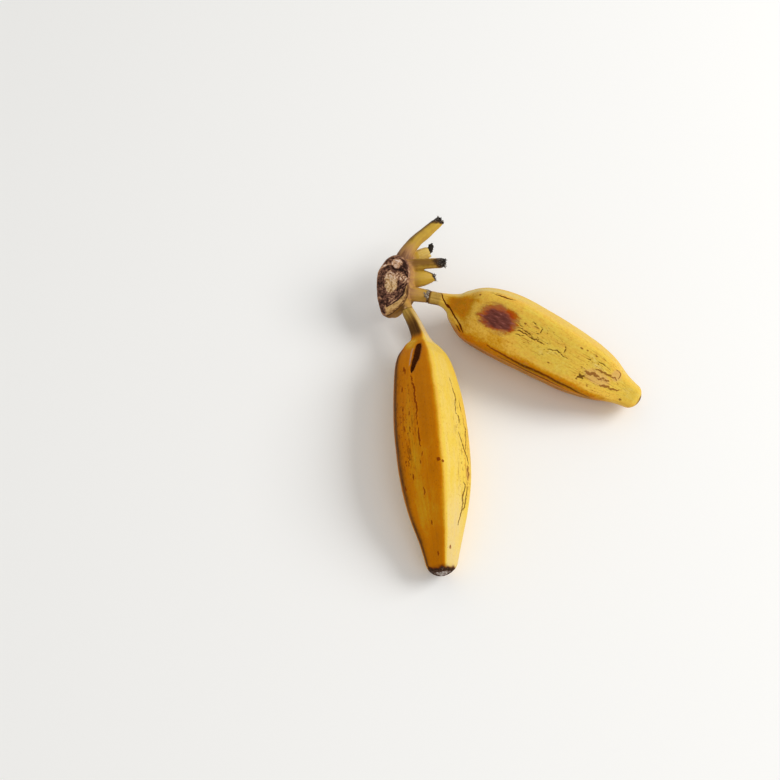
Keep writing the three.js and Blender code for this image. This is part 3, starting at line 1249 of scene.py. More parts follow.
@dataclass
class Crown:
    """The crown: a cut pad with stubs and sockets grown into it.

    Attributes:
        cut_centre: Middle of the cut face.
        cut_normal: Direction that the cut faces.
        cut_along: Direction of its long side.
        outline: Its outline, across and along.
        levels: Sections below the cut: depth, shift to the right and share of the outline.
        groove: Line that parts the two lobes of the cut, across and along.
        stalks: Stubs and sockets.
        voxel_mm: Size of the cells that grow the pieces together.
    """

    cut_centre: tuple[float, float, float]
    cut_normal: tuple[float, float, float]
    cut_along: tuple[float, float, float]
    outline: tuple[tuple[float, float], ...]
    levels: tuple[tuple[float, float, float], ...]
    groove: tuple[tuple[float, float], ...]
    stalks: tuple[Stalk, ...]
    voxel_mm: float = 0.3

    def __post_init__(self) -> None:
        """Works out the directions of the cut face."""
        self.up = unit(np.array(self.cut_normal))
        along = np.array(self.cut_along)
        self.along = unit(along - self.up * (along @ self.up))
        self.across = np.cross(self.along, self.up)

    def pad(self) -> Skin:
        """Carries the cut's outline down through the levels, each shifted and shrunk."""
        depth, shift, size = np.array(self.levels).T
        edge = through(np.array(self.outline), np.arange(PAD_COLUMNS) / PAD_COLUMNS, closed=True)[0]
        centre = np.array(self.cut_centre) - np.outer(depth, self.up) + np.outer(shift, self.across)
        flat = edge[:, :1] * self.across + edge[:, 1:] * self.along
        rings = centre[:, None, :] + size[:, None, None] * flat[None, :, :]
        return Skin(rings, centre[0], centre[-1])

    def grow(self) -> bpy.types.Object:
        """Grows the pad and stalks into one smooth skin.

        Returns:
            An object whose mesh is in the layout's millimetres.
        """
        skins = [self.pad(), *(stalk.skin() for stalk in self.stalks)]
        points: list[np.ndarray] = []
        faces: list[list[int]] = []
        for skin in skins:
            faces += skin.faces(sum(map(len, points)))
            points.append(skin.points())
        rough = new_mesh("crown_rough", np.vstack(points), faces)
        remesh = rough.modifiers.new("grown together", "REMESH")
        remesh.mode = "VOXEL"
        remesh.voxel_size = self.voxel_mm
        smooth = rough.modifiers.new("softened", "SMOOTH")
        smooth.factor = 0.5
        smooth.iterations = 9
        graph = bpy.context.evaluated_depsgraph_get()
        mesh = bpy.data.meshes.new_from_object(rough.evaluated_get(graph))
        bpy.data.objects.remove(rough)
        mesh.name = "crown_skin"
        return put("crown_skin", mesh)

    def cut_fields(self, points: np.ndarray) -> dict[str, np.ndarray]:
        """Works out the pattern of the cut face.

        Two pale fibrous cores, one in each lobe, stand in dark flesh, which is streaked at the right of the
        large core and speckled at its left. A band of pale rind runs along the lower right edge.

        Args:
            points: Points of the crown, one per row.

        Returns:
            How much of a cut each point is, how pale it is there, whether it is dry rind, where it lies on
            the face, how far it stands out, and the dark line around its lower right edge.
        """
        offset = points - np.array(self.cut_centre)
        u, v, depth = offset @ self.across, offset @ self.along, offset @ self.up
        flat = np.stack([u, v], axis=1)
        around = np.arange(OUTLINE_SAMPLES) / OUTLINE_SAMPLES
        edge = through(np.array(self.outline), around, closed=True)[0]
        from_edge = nearest(flat, edge, ANYWHERE_MM)[0]
        groove = through(np.array(self.groove), np.linspace(0, 1, GROOVE_SAMPLES))[0]
        from_groove = nearest(flat, groove, ANYWHERE_MM)[0]
        noise = cloud(points, 1.6, 11)
        fine = cloud(points, 0.7, 15)

        def inside(middle: tuple[float, float], halves: tuple[float, float], lean: float) -> np.ndarray:
            """An oval of the face, 1 inside and 0 outside, leaning by an angle."""
            turn = np.radians(lean)
            a = (u - middle[0]) * np.cos(turn) + (v - middle[1]) * np.sin(turn)
            b = (v - middle[1]) * np.cos(turn) - (u - middle[0]) * np.sin(turn)
            return rise(np.hypot(a / halves[0], b / halves[1]) + 0.22 * noise, 1.12, 0.8)

        core = inside((-1.5, 3.4), (3.9, 6.9), 16)
        small = inside((-0.8, 15.7), (3.7, 3.3), 0)
        weave = inside((4.6, 7.6), (4.6, 2.6), -32)
        comma = inside((6.2, 1.0), (1.7, 4.4), -32)
        lower = inside((2.4, -7.6), (2.2, 3.0), -30)
        ring = inside((-0.8, 16.0), (8.2, 5.4), 0) * (1 - small)
        furrows = core * rise(cloud(points, 1.1, 16), 0.05, 0.45)
        band = rise(u + 0.45 * v, -3.4, -5.2) * (1 - core)
        low = rise(v, 3.0, -15.0)
        right = rise(u + 0.35 * v, -6.2, -4.6) * rise(v, 5.0, 2.0)
        rind = right * rise(from_edge + 0.4 * noise + 0.25 * fine - 1.2 - 3.6 * low, 0.5, -0.3)
        crease = right * rise(np.abs(from_edge + 0.4 * noise - 1.7 - 3.6 * low), 0.7, 0.2)
        slant = np.sin(2 * np.pi * (0.82 * u - 0.57 * v + 0.9 * noise) / 1.7)
        streaks = 0.5 * slant * np.maximum(weave, np.maximum(comma, lower))
        line = right * rise(from_edge + 0.3 * noise, 0.95, 0.45) * rise(fine, -0.7, 0.1)
        rim = (1 - right) * rise(from_edge + 0.35 * fine + 0.3 * noise, 1.1, 0.5)
        lobes = rise(from_groove + 0.3 * fine, 0.9, 0.3) * rise(u, -5.0, -2.5)
        shelf = rise(from_groove + 0.3 * noise, 1.1, 0.4) * rise(u, -2.5, -5.0)
        border = rise(np.abs(core - 0.5) + 0.3 * noise, 0.4, 0.1) * rise(u, 0.5, -3.0)
        flesh = 0.32 + 0.6 * core + 0.46 * small + 0.26 * weave - 0.1 * comma + 0.14 * lower + 0.4 * streaks
        flesh = flesh + 0.2 * border - 0.2 * crease - 0.14 * ring - 0.08 * band - 0.36 * furrows
        face = flesh + (0.52 + 0.26 * low - flesh) * rind + 0.3 * rim + 0.36 * shelf
        face = face - 0.5 * line - 0.26 * lobes + 0.12 * noise + 0.2 * fine
        cut = rise(depth, -1.5, -0.7)
        bulge = 0.3 * rind + 0.3 * rim + 0.25 * core + 0.3 * small + 0.35 * streaks + 0.3 * shelf - 0.5
        bulge = bulge - 0.5 * lobes - 0.4 * crease - 0.2 * line - 0.35 * comma + 0.25 * noise + 0.22 * fine
        bearing = np.arctan2(v - 3.4, u + 1.5)
        reach = np.hypot(u + 1.5, v - 3.4)
        rounds = np.stack([3 * np.cos(bearing), 3 * np.sin(bearing), reach], axis=1)
        place_on = np.where((core > 0.5)[:, None], np.stack([u, v, depth], axis=1), rounds)
        drier = np.maximum(rind, 0.75 * core * rise(v, 10.0, 2.0))
        outer = right * rise(np.abs(depth + 1.2 + 0.25 * noise), 0.5, 0.1) * rise(from_edge, 2.5, 1.5)
        return {
            "cut": cut,
            "face": face,
            "rind": drier * cut,
            "flat": place_on,
            "bulge": bulge * cut,
            "outer": outer,
        }

    def stalk_fields(self, points: np.ndarray) -> dict[str, np.ndarray]:
        """Works out the colours of the stubs and sockets.

        Args:
            points: Points of the crown, one per row.

        Returns:
            Yellow, brown (a side partly painted shade, and the dark joint ring), blackened and callused
            shares, straightened places for patterns, and ribs.
        """
        measures = [stalk.measure(points) for stalk in self.stalks]
        closest = np.argmin([measure[0] for measure in measures], axis=0)
        each = np.arange(len(points))
        _, share, angle, to_end, straight = (
            np.stack([measure[k] for measure in measures])[closest, each] for k in range(5))
        looks = ("brown_and_shade_angle", "yellow", "black_mm", "ring", "callus")
        table = np.array([[getattr(stalk, look) for look in looks] for stalk in self.stalks])
        brown_and_shade_angle, yellow, black_mm, ring, callused = table[closest].T
        noise = cloud(points, 1.4, 12)
        broken = black_mm > 0
        aside = apart(angle, brown_and_shade_angle)
        charred = black_mm * (0.6 + 0.4 * np.cos(np.radians(aside)))
        black = rise(to_end + np.minimum(1.1, 0.4 * charred) * noise, charred, charred * 0.1) * broken
        # Brown side of each stalk: partly its own brown, partly painted shade on the side turned from the
        # light and under the stub above.
        brown = rise(aside + 14 * noise, 95, 0) * rise(share, 0.25, 0.5)
        joint = ring * rise(to_end + 0.4 * noise, 1.3, 0.4)
        ribs = 0.12 * np.cos(np.radians(7 * angle)) * rise(share, 0.3, 0.6)
        frayed = black * (0.35 * cloud(points, 0.9, 13) - 0.25)
        on_top = rise(np.abs(angle - 80) + 30 * noise, 62, 34)
        callus = callused * on_top * rise(to_end + 1.5 * noise, 3.2, 1.6)
        return {
            "yellow": yellow * rise(share, 0.15, 0.6),
            "brown": np.maximum(brown, joint),
            "black": black,
            "callus": callus,
            "strand": straight,
            "ribs": ribs + frayed + 0.5 * callus,
        }

    def build(self) -> bpy.types.Object:
        """Makes the crown's skin, shapes its face and stalks, and puts it in place of its solid.

        Returns:
            The finished piece.
        """
        piece = self.grow()
        mesh = piece.data
        points = read(mesh.vertices, "co")
        normals = read(mesh.vertex_normals, "vector")
        fields = self.cut_fields(points) | self.stalk_fields(points)
        on_cut = fields["cut"][:, None] > 0.5
        fields["strand"] = np.where(on_cut, fields.pop("flat"), fields["strand"]) * MM
        fields["black"] = np.maximum(fields["black"], 0.36 * fields.pop("outer"))
        relief = fields.pop("bulge") + fields.pop("ribs") * (1 - fields["cut"])
        relief = relief + 0.15 * cloud(points, 4.0, 14)
        shaped = points + relief[:, None] * normals
        mesh.vertices.foreach_set("co", place(shaped).astype(np.float32).ravel())
        shade_smooth(mesh)
        for name, values in fields.items():
            store(piece, name, values)
        mesh.materials.clear()
        mesh.materials.append(CrownSheet().built())
        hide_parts("crown")
        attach(piece, BODY)
        return piece


@dataclass
class FrayedEnds:
    """Dry threads that stand out of the broken ends of the stubs.

    A thread starts at a random place of the end, and at share t of its length it has gone length times
    (t way + t^2 bend), with its half width falling from full at the root to a third at the tip.

    Attributes:
        stubs: The broken stubs.
        threads: Threads on each.
        length_mm: Shortest and longest thread.
        half_mm: Thinnest and thickest half width.
        rings: Rings along a thread.
        sides: Sides around it.
        seed: Number that picks the random details.
    """

    stubs: tuple[Stalk, ...]
    threads: int = 60
    length_mm: tuple[float, float] = (0.4, 1.0)
    half_mm: tuple[float, float] = (0.25, 0.55)
    rings: int = 6
    sides: int = 5
    seed: int = 21

    def roots(self, stub: Stalk, draw: np.random.Generator) -> tuple[np.ndarray, np.ndarray]:
        """Scatters the roots of the threads over a broken end.

        Args:
            stub: The stub.
            draw: Source of random numbers.

        Returns:
            The roots and the ways that the threads leave them.
        """
        centre, half, ahead, right, over = (axis[0] for axis in stub.follow(np.array([1.0])))
        turn = draw.uniform(0, 2 * np.pi, self.threads)[:, None]
        reach = half * np.sqrt(draw.uniform(0.15, 0.95, self.threads))[:, None]
        aside = np.cos(turn) * right + np.sin(turn) * over
        way = unit(ahead + 0.55 * aside + 0.35 * draw.normal(size=(self.threads, 3)))
        return centre - 0.7 * ahead + reach * aside, way

    def build(self) -> bpy.types.Object:
        """Makes all threads as one piece and dresses it.

        Returns:
            The finished piece.
        """
        draw = np.random.default_rng(self.seed)
        ends = [self.roots(stub, draw) for stub in self.stubs]
        root = np.vstack([end[0] for end in ends])
        way = np.vstack([end[1] for end in ends])
        count = len(root)
        length = draw.uniform(*self.length_mm, count)[:, None, None, None]
        half = draw.uniform(*self.half_mm, count)[:, None, None, None]
        bend = 0.5 * draw.normal(size=(count, 3))
        side = unit(np.cross(way, unit(draw.normal(size=(count, 3)))))
        top = np.cross(way, side)
        t = np.linspace(0, 1, self.rings)[None, :, None, None]
        turn = (np.arange(self.sides) * 2 * np.pi / self.sides)[None, None, :, None]
        spread = [vector[:, None, None, :] for vector in (root, way, bend, side, top)]
        middle = spread[0] + length * (t * spread[1] + t**2 * spread[2])
        rings = middle + half * (1 - 0.67 * t) * (np.cos(turn) * spread[3] - np.sin(turn) * spread[4])
        skins = [Skin(ring, path[0, 0], path[-1, 0]) for ring, path in zip(rings, middle)]
        size = self.rings * self.sides + 2
        faces = [face for i, skin in enumerate(skins) for face in skin.faces(i * size)]
        piece = new_mesh("stub_fibres", place(np.vstack([skin.points() for skin in skins])), faces)
        store(piece, "pale", np.repeat(draw.uniform(0, 1, count) ** 2, size))
        piece.data.materials.append(fibre_material("frayed_fibre"))
        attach(piece, BODY)
        return piece


@dataclass
class TornFlap:
    """A torn strip of dried skin that stands up at the end of a stub.

    It is an ellipse carried along a short bent path, with a flatness that makes it a strip.

    Attributes:
        stations: Path from the stub to its tip, each x, y, z and half width.
        flatness: Thickness as a share of the width.
        paleness: How pale it is, from 0, black, to 1, straw.
        rows: Rings along it.
        columns: Points around it.
    """

    stations: tuple[tuple[float, float, float, float], ...]
    flatness: float = 0.45
    paleness: float = 0.12
    rows: int = 24
    columns: int = 20

    def build(self) -> bpy.types.Object:
        """Makes the strip, roughens it and dresses it.

        Returns:
            The finished piece.
        """
        share, turn = ring_grid(self.rows, self.columns)
        value, slope = through(np.array(self.stations), share)
        ahead = unit(slope[..., :3])
        wide = unit(np.cross(ahead, [0.3, 1.0, 0.0]))
        thick = np.cross(wide, ahead)
        half = value[..., 3:]
        rings = value[..., :3] + half * np.cos(turn)[..., None] * wide
        rings = rings + self.flatness * half * np.sin(turn)[..., None] * thick
        rings = rings + 0.25 * cloud(rings, 0.9, 31)[..., None] * thick
        rings = rings + 0.55 * cloud(rings, 0.8, 32)[..., None] * wide
        skin = Skin(rings, value[0, 0, :3], value[-1, 0, :3])
        piece = new_mesh("stub_flap", place(skin.points()), skin.faces())
        store(piece, "pale", np.full(len(piece.data.vertices), self.paleness))
        piece.data.materials.append(fibre_material("torn_skin"))
        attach(piece, BODY)
        return piece


@dataclass(frozen=True)
class Lamp:
    """A square area light that faces the middle of the cluster.

    Attributes:
        name: Name of the light.
        spot: Where it hangs, in metres.
        side: Length of its sides, in metres.
        watts: Its power.
    """

    name: str
    spot: tuple[float, float, float]
    side: float
    watts: float

    def build(self) -> None:
        """Hangs the light and turns it to face the middle."""
        made = bpy.data.lights.new(self.name, "AREA")
        made.size = self.side
        made.energy = self.watts
        lamp = put(self.name, made)
        lamp.location = self.spot
        ahead = -unit(np.array(self.spot))
        turn = np.arctan2(ahead[1], ahead[0])
        drop = np.arccos(-ahead[2])
        lamp.rotation_euler = (drop, 0.0, turn - np.pi / 2)


@dataclass(frozen=True)
class Studio:
    """Floor, light and camera.

    Attributes:
        elevation: How steeply the camera looks down.
        distance_mm: From the camera to the point of the table that it looks at.
        lens_mm: Focal length of the camera.
        sky: Brightness of the light from all round.
        lamps: The large light at the right and the light above the front.
    """

    elevation: float = 62.0
    distance_mm: float = 672.0
    lens_mm: float = 50.0
    sky: float = 0.55
    lamps: tuple[Lamp, ...] = (
        Lamp("key", (1.7, 0.3, 1.3), 1.2, 33.5),
        Lamp("fill", (0.2, -1.2, 1.8), 1.4, 5.0),
    )

    def camera(self) -> None:
        """Sets the camera over the zero of the layout, looking away along +Y and down."""
        made = bpy.data.cameras.new("camera")
        made.lens = self.lens_mm
        made.sensor_width = SENSOR_MM
        made.clip_start = 0.01
        eye = put("camera", made)
        tilt = np.radians(self.elevation)
        eye.location = place(self.distance_mm * np.array([0.0, -np.cos(tilt), np.sin(tilt)]))
        eye.rotation_euler = (np.pi / 2 - tilt, 0.0, 0.0)
        bpy.context.scene.camera = eye

    def build(self) -> None:
        """Lays the floor, hangs the lights and sets the camera."""
        corners = FLOOR_HALF_M * np.array([(-1, -1, 0), (1, -1, 0), (1, 1, 0), (-1, 1, 0)])
        floor = new_mesh("floor", corners, [[0, 1, 2, 3]])
        floor.data.materials.append(floor_material())
        world = bpy.data.worlds.new("sky")
        world.use_nodes = True
        background = world.node_tree.nodes["Background"]
        background.inputs["Color"].default_value = (1.0, 1.0, 1.0, 1.0)
        background.inputs["Strength"].default_value = self.sky
        bpy.context.scene.world = world
        for lamp in self.lamps:
            lamp.build()
        bpy.context.scene.view_settings.view_transform = "Standard"
        self.camera()


def right_fruit() -> Fruit:
    """The fruit that points right, with the sunken bruise."""
    crack, scratch, seam, slit = Mark.CRACK, Mark.SCRATCH, Mark.SEAM, Mark.SLIT
    long_slit = (
        (0.078, 155), (0.115, 72), (0.17, 39), (0.222, 39), (0.278, 35), (0.31, 31), (0.348, 27), (0.388, 24))
    upper_seam = (
        (0.5, 25), (0.53, 24), (0.57, 23), (0.605, 22), (0.63, 23), (0.67, 24), (0.7, 23), (0.735, 22),
        (0.765, 19), (0.8, 16))
    lower_seam = ((0.545, 18), (0.58, 17), (0.635, 17), (0.675, 18), (0.702, 17), (0.738, 14))
    long_crack = ((0.55, 60), (0.565, 63), (0.585, 64), (0.6, 62), (0.615, 63), (0.632, 64))
    long_scratch = ((0.735, 61), (0.75, 58), (0.762, 54), (0.775, 60), (0.792, 58), (0.808, 59), (0.83, 61))
    return Fruit(
        node="banana_right",
        stations=(
            (24.5, 53, 24, 4), (32, 51, 24, 3.9), (38, 48.5, 23.4, 6.2), (42.8, 46, 22.3, 11),
            (52.2, 42.2, 20.4, 17.5), (68.8, 35.1, 20.1, 20.5), (89, 23.2, 19.6, 19.9),
            (109.4, 10.5, 18.2, 18.5), (127.6, 0.5, 15.6, 15.1), (139.8, -6.7, 13, 9.1),
            (150.9, -13.5, 11, 6.4)),
        facets=(65, 138, 204, 270, 335),
        sharpness=9.0,
        finish=PeelFinish("right_peel", "80491c", "cfa064", "6e2a0a", ("c87a04", "b47a08", "98680e"), 1.15),
        ripeness=0.418,
        tints_and_painted_light=(
            # Deep orange shoulder: partly the peel's own colour, partly painted shade of the concave slope
            # towards the neck.
            Tint((0.17, 0.37), (36, 96), 0.3, 0.06, 12),
            # Paler cream upper back facet: partly the peel's own cream, partly a painted highlight along the
            # lit top edge.
            Tint((0.2, 0.5), (116, 146), -0.28, 0.1, 14),
            # Riper, browner lower facet: partly the peel's own colour, partly painted shade of the underside.
            Tint((0.3, 0.84), (-22, 26), 0.34, 0.06, 6),
            Tint((0.58, 0.76), (20, 31), 0.16, 0.05, 5),
            Tint((0.36, 0.58), (26, 40), 0.09, 0.06, 10),
            Tint((0.1, 0.4), (-14, 24), -0.16, 0.04, 6),
            # More of the lower facet's painted shade over its own brown.
            Tint((0.2, 0.86), (-68, -22), 0.16, 0.06, 8),
            Tint((0.56, 1.1), (36, 96), -0.11, 0.08, 14),
            Tint((0.56, 1.1), (96, 176), -0.08, 0.08, 14),
            # More of the lower facet's painted shade over its own brown.
            Tint((0.3, 0.86), (-24, 6), 0.12, 0.05, 6),
            Tint((0.0, 1.0), (190, 300), 0.12, 0.05, 12),
            Tint((-0.1, 0.012), (-180, 180), 0.5, 0.01, 8),
            Tint((-0.1, 0.2), (190, 350), 0.3, 0.04, 20),
        ),
        lines=(
            Line(slit, long_slit, 0.42, 0.2, 0.6),
            Line(slit, ((0.16, 42), (0.19, 39), (0.225, 39)), 0.75, 0.2, 0.3),
            Line(slit, ((0.33, 29), (0.355, 27), (0.388, 24)), 0.55, 0.2, 0.3),
            Line(slit, ((0.325, 21), (0.35, 21), (0.372, 21)), 0.4, 0.3, 0.3),
            Line(slit, ((0.455, 104), (0.472, 104), (0.488, 103), (0.502, 103), (0.52, 107)), 0.5, 0.3, 0.25),
            Line(crack, ((0.44, 106), (0.46, 107), (0.48, 108)), 0.3, 0.3, 0.5),
            Line(crack, long_crack, 0.4, 0.7, 0.6),
            Line(crack, ((0.55, 67), (0.57, 68), (0.585, 68), (0.59, 67), (0.6, 64)), 0.34, 0.5, 0.5),
            Line(crack, ((0.546, 74), (0.561, 73), (0.569, 72)), 0.3, 0.4),
            Line(crack, ((0.552, 56), (0.57, 58), (0.582, 59)), 0.26, 0.5),
            Line(crack, ((0.645, 60), (0.664, 64), (0.679, 63), (0.696, 62)), 0.36, 0.6, 0.5),
            Line(crack, ((0.669, 82), (0.679, 77), (0.682, 70), (0.684, 63)), 0.42, 0.5),
            Line(crack, ((0.581, 87), (0.596, 85)), 0.34, 0.3),
            Line(crack, ((0.602, 86), (0.611, 84), (0.609, 76), (0.602, 73)), 0.36, 0.4),
            Line(scratch, long_scratch, 0.95, 0.8),
            Line(scratch, ((0.805, 45), (0.825, 46), (0.852, 49), (0.89, 55)), 0.8, 0.9),
            Line(scratch, ((0.772, 71), (0.792, 71), (0.812, 75), (0.835, 77), (0.855, 77)), 0.65, 0.7),
            Line(scratch, ((0.857, 80), (0.858, 90), (0.852, 99), (0.832, 96)), 0.42, 0.6),
            Line(crack, ((0.737, 40), (0.744, 44), (0.752, 48)), 0.9, 0.3),
            Line(crack, ((0.738, 48), (0.744, 44), (0.753, 42)), 0.8, 0.3),
            Line(crack, ((0.737, 80), (0.749, 81)), 0.4, 0.3),
            Line(crack, ((0.764, 84), (0.779, 86), (0.796, 87)), 0.36, 0.4),
            Line(seam, upper_seam, 0.6, 0.2, 0.5),
            Line(seam, lower_seam, 0.55, 0.2, 0.4),
            Line(seam, ((0.6, 8), (0.66, 8), (0.72, 5), (0.76, 1)), 0.45, 0.3, 0.4),
        ),
        spots=(
            Oval(0.738, 38, 0.9, 0.5), Oval(0.662, 41, 1.0, 0.5), Oval(0.569, 79, 0.9, 0.6),
            Oval(0.714, 90, 1.1, 0.5), Oval(0.729, 92, 0.8, 0.5), Oval(0.757, 92, 0.9, 0.5),
            Oval(0.917, 30, 1.2, 0.7), Oval(0.4, 98, 0.7, 0.7), Oval(0.345, 101, 0.8, 0.6),
        ),
        scuffs=(Oval(0.8, 65, 26, 18), Oval(0.62, 68, 20, 13)),
        corky=(Oval(0.79, 56, 14, 5.5), Oval(0.845, 86, 5, 5)),
        bruise=(Oval(0.498, 67, 13.6, 9.0), Oval(0.496, 64, 11.6, 7.0)),
        neck_share=0.14,
        scab_share=0.998,
        seed=3,
        slit_mm=0.35,
    )


def front_fruit() -> Fruit:
    """The fruit that points to the front, with the open slit on its shoulder."""
    crack, lip, scratch, slit = Mark.CRACK, Mark.LIP, Mark.SCRATCH, Mark.SLIT
    open_slit = ((0.32, 80), (0.372, 78), (0.41, 74), (0.425, 69), (0.445, 63), (0.452, 61))
    slit_lip = ((0.345, 64), (0.37, 63), (0.4, 62), (0.42, 60), (0.434, 57))
    top_crack = ((0.465, 141), (0.492, 143), (0.512, 146), (0.53, 143), (0.558, 139))
    middle_crack = ((0.625, 149), (0.638, 151), (0.648, 155), (0.662, 159), (0.676, 161))
    low_crack = ((0.722, 146), (0.732, 153), (0.762, 146), (0.782, 150), (0.815, 145), (0.848, 140))
    fleck_half = 0.007
    flecks = (
        (0.436, 46), (0.444, 49), (0.49, 43), (0.595, 45), (0.598, 54), (0.672, 41), (0.674, 45), (0.708, 50),
        (0.732, 33), (0.835, 72), (0.938, 79), (0.5, 67), (0.552, 69), (0.635, 69))
    return Fruit(
        node="banana_front",
        stations=(
            (11, 43.5, 22.5, 3.6), (15.4, 33, 23, 4.1), (18.4, 23, 22.8, 5.4), (18.9, 17, 21.8, 10),
            (19.6, 6.8, 20.2, 15.5), (21.9, -18.5, 19, 19.3), (23.5, -44.5, 19.7, 20),
            (25.3, -69, 18.8, 19.1), (26.7, -89, 15.8, 15.6), (28.2, -105.5, 12.6, 11.2),
            (28.9, -123, 10, 7.4)),
        facets=(62, 138, 204, 270, 352),
        sharpness=11.0,
        finish=PeelFinish("front_peel", "7a2c04", "b87c3c", "4e2208", ("c87600", "b66a00", "8a5008"), 0.6),
        ripeness=0.245,
        tints_and_painted_light=(
            # Deep amber left face, deeper near the ridge: partly the peel's own colour, partly painted shade
            # of the side turned from the light.
            Tint((0.24, 1.1), (24, 101), 0.42, 0.04, 7),
            Tint((0.34, 0.74), (68, 96), 0.05, 0.08, 8),
            Tint((0.3, 1.1), (20, 44), 0.08, 0.05, 10),
            # Dark brown band along the lower left ridge and below it: partly a real browned ridge, partly
            # painted shade of the dark left rim.
            Tint((0.28, 1.1), (21, 33), 0.26, 0.05, 6),
            Tint((0.28, 1.1), (-32, 12), 0.14, 0.05, 24),
            Tint((0.2, 1.1), (-66, 18), 0.2, 0.06, 8),
            Tint((0.86, 1.1), (24, 99), 0.07, 0.06, 6),
            Tint((0.6, 0.92), (44, 66), -0.07, 0.08, 20),
            # Paler tan rim on the shoulder's upper left: partly tan skin, partly a painted highlight.
            Tint((0.24, 0.33), (20, 66), -0.16, 0.03, 10),
            # Paler tan right side of the neck: partly tan skin, partly a painted highlight on its lit side.
            Tint((-0.1, 0.27), (116, 178), -0.14, 0.03, 8),
            Tint((0.0, 1.0), (190, 290), 0.16, 0.05, 14),
            Tint((0.4, 0.9), (150, 176), 0.1, 0.08, 10),
            Tint((0.78, 1.1), (104, 170), -0.13, 0.08, 6),
            # Dark brown left side of the neck: partly dry brown skin, partly painted shade.
            Tint((0.06, 0.215), (-60, 104), 0.72, 0.06, 14),
            Tint((-0.1, 0.04), (-180, 180), 0.24, 0.04, 8),
        ),
        lines=(
            Line(slit, open_slit, 2.3, 0.1, 0.75, 0.32, 0.95),
            Line(lip, slit_lip, 0.55, 0.15, 0.7, 0.5, 0.8),
            Line(scratch, ((0.46, 61), (0.492, 65), (0.55, 68), (0.592, 67)), 0.56, 0.6, 0.6),
            Line(scratch, ((0.6, 68), (0.622, 69), (0.642, 69)), 0.6, 0.5, 0.5),
            Line(scratch, ((0.655, 72), (0.665, 70)), 0.36, 0.3),
            Line(scratch, ((0.672, 66), (0.682, 67)), 0.4, 0.3),
            Line(scratch, ((0.735, 66), (0.745, 67), (0.757, 65)), 0.34, 0.4),
            *(Line(scratch, ((along - fleck_half, angle), (along + fleck_half, angle)), 0.55, 0.2)
              for along, angle in flecks),
            Line(crack, top_crack, 0.44, 0.5, 0.6),
            Line(crack, ((0.558, 141), (0.565, 147), (0.58, 147)), 0.44, 0.4, 0.6),
            Line(crack, ((0.602, 141), (0.622, 148), (0.635, 149)), 0.38, 0.4, 0.5),
            Line(crack, ((0.515, 155), (0.535, 155), (0.55, 156)), 0.3, 0.4, 0.5),
            Line(crack, ((0.56, 158), (0.588, 161), (0.61, 159), (0.64, 158)), 0.4, 0.5, 0.5),
            Line(crack, middle_crack, 0.46, 0.4, 0.6),
            Line(crack, low_crack, 0.5, 0.3, 0.6),
            Line(crack, ((0.732, 158), (0.765, 157), (0.788, 155), (0.8, 152)), 0.46, 0.4, 0.5),
            Line(crack, ((0.68, 157), (0.7, 159), (0.716, 157)), 0.5, 0.5, 0.6),
        ),
        spots=(Oval(0.68, 95, 1.2, 1.2), Oval(0.685, 101, 0.9, 0.8), Oval(0.92, 116, 1.3, 0.7)),
        scuffs=(Oval(0.66, 152, 52, 10), Oval(0.6, 40, 52, 12)),
        corky=(Oval(0.7, 158, 5, 2.6),),
        bruise=(),
        neck_share=0.27,
        scab_share=0.982,
        seed=8,
        slit_mm=1.1,
    )


def broken_stubs() -> tuple[Stalk, ...]:
    """The stubs of four fruits that were broken off the crown."""
    return (
        Stalk(
            ((5.5, 71, 27, 5), (9, 79.5, 30, 4.6), (15.5, 88.5, 32, 4), (24, 96, 34, 3.6),
             (32.5, 103.5, 36, 3)),
            black_mm=11.0, brown_and_shade_angle=150, yellow=0.75),
        Stalk(
            ((8, 76, 24, 5), (14.5, 81.5, 24, 4.4), (20.5, 84.2, 25, 3.9), (25.3, 85.8, 26, 3.4)),
            black_mm=0.7, brown_and_shade_angle=200, yellow=1.02),
        Stalk(
            ((7, 70.5, 28, 5), (13, 72.6, 30, 3.8), (21.5, 73, 31, 3.4), (35, 73.5, 31.5, 3)),
            black_mm=11.0, brown_and_shade_angle=80, yellow=0.6),
        Stalk(
            ((7, 66.5, 23, 6.4), (14, 66.2, 24.5, 6), (21.5, 66.4, 25, 5), (28.5, 66.8, 25, 2.1)),
            black_mm=3.8, brown_and_shade_angle=165, yellow=0.75),
    )


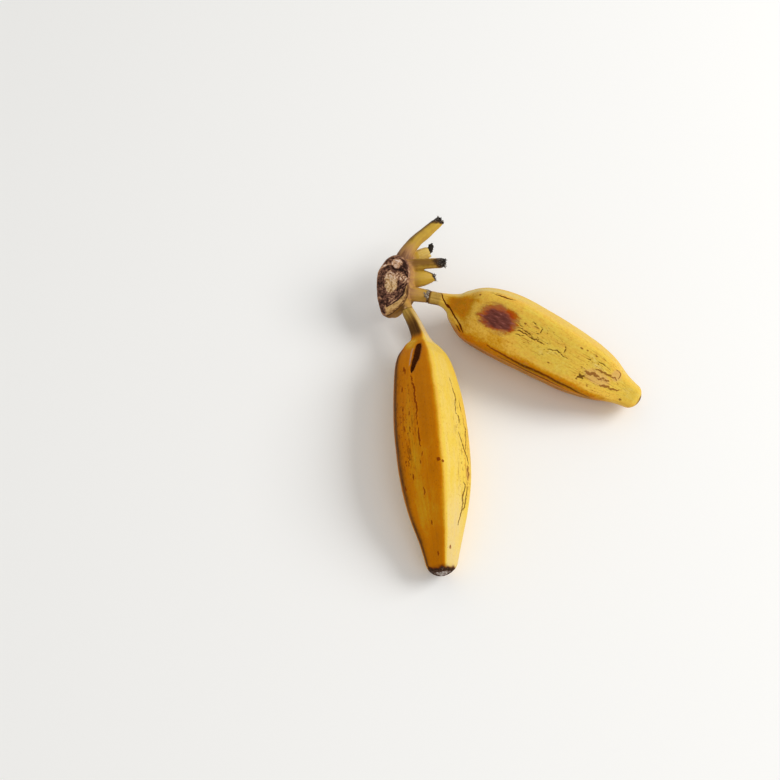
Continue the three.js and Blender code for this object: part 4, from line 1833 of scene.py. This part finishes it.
def crown(stubs: tuple[Stalk, ...]) -> Crown:
    """The crown with the given stubs and the sockets of both fruits."""
    sockets = (
        Stalk(
            ((5, 60, 22, 6.6), (12, 55.7, 24, 5), (21.3, 53.8, 24, 4.1), (24.3, 53, 24, 4)),
            black_mm=0.0, brown_and_shade_angle=300, yellow=0.5, ring=1.0, callus=1.0),
        Stalk(
            ((2.5, 59.5, 21, 6.4), (6.5, 52.5, 22, 4.8), (9.7, 46.5, 22.4, 3.8), (10.9, 43.8, 22.5, 3.7)),
            black_mm=0.0, brown_and_shade_angle=30, yellow=0.4, ring=0.15),
    )
    return Crown(
        cut_centre=(1, 56.5, 29.5),
        cut_normal=(-0.2, -0.32, 0.93),
        cut_along=(0.24, 0.9, 0.36),
        outline=(
            (9.4, 6), (8.4, 12.6), (4.8, 18.8), (-1.6, 21.1), (-6.9, 19.1), (-10.2, 13.6),
            (-11.7, 5.5), (-9.5, -4), (-5.4, -13.5), (-0.6, -18.6), (6, -13), (10.3, -4.8)),
        levels=((0, 0, 0.94), (1.2, 0.4, 1), (5, 2.4, 1), (10, 4.2, 0.9), (14, 5, 0.72), (17, 5.5, 0.45)),
        groove=(
            (-11.1, 7.5), (-8.9, 11.7), (-5.2, 14.1), (-3.2, 12.8), (0.3, 11.9), (2.9, 12.4), (5.4, 11.2),
            (8, 9)),
        stalks=stubs + sockets,
    )


def torn_flap() -> TornFlap:
    """The strip of dried skin at the end of the second stub."""
    return TornFlap((
        (24.7, 84.7, 26.3, 1.5), (25.3, 86.0, 27.9, 1.9), (26.0, 87.3, 29.8, 1.6), (26.6, 88.2, 31.8, 0.5)))


def main() -> None:
    """Builds the cluster over its frame, lights it and notes its size."""
    logging.basicConfig(level=logging.INFO, format="%(name)s: %(message)s")
    log.info("frame holds %s", ", ".join(sorted(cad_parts)))
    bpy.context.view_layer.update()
    stubs = broken_stubs()
    pieces = [
        crown(stubs).build(),
        FrayedEnds((stubs[0], *stubs[2:])).build(),
        torn_flap().build(),
        right_fruit().build(),
        front_fruit().build(),
    ]
    for piece in pieces:
        log.info("%s has %d faces", piece.name, len(piece.data.polygons))
    Studio().build()


if __name__ == "__main__":
    main()
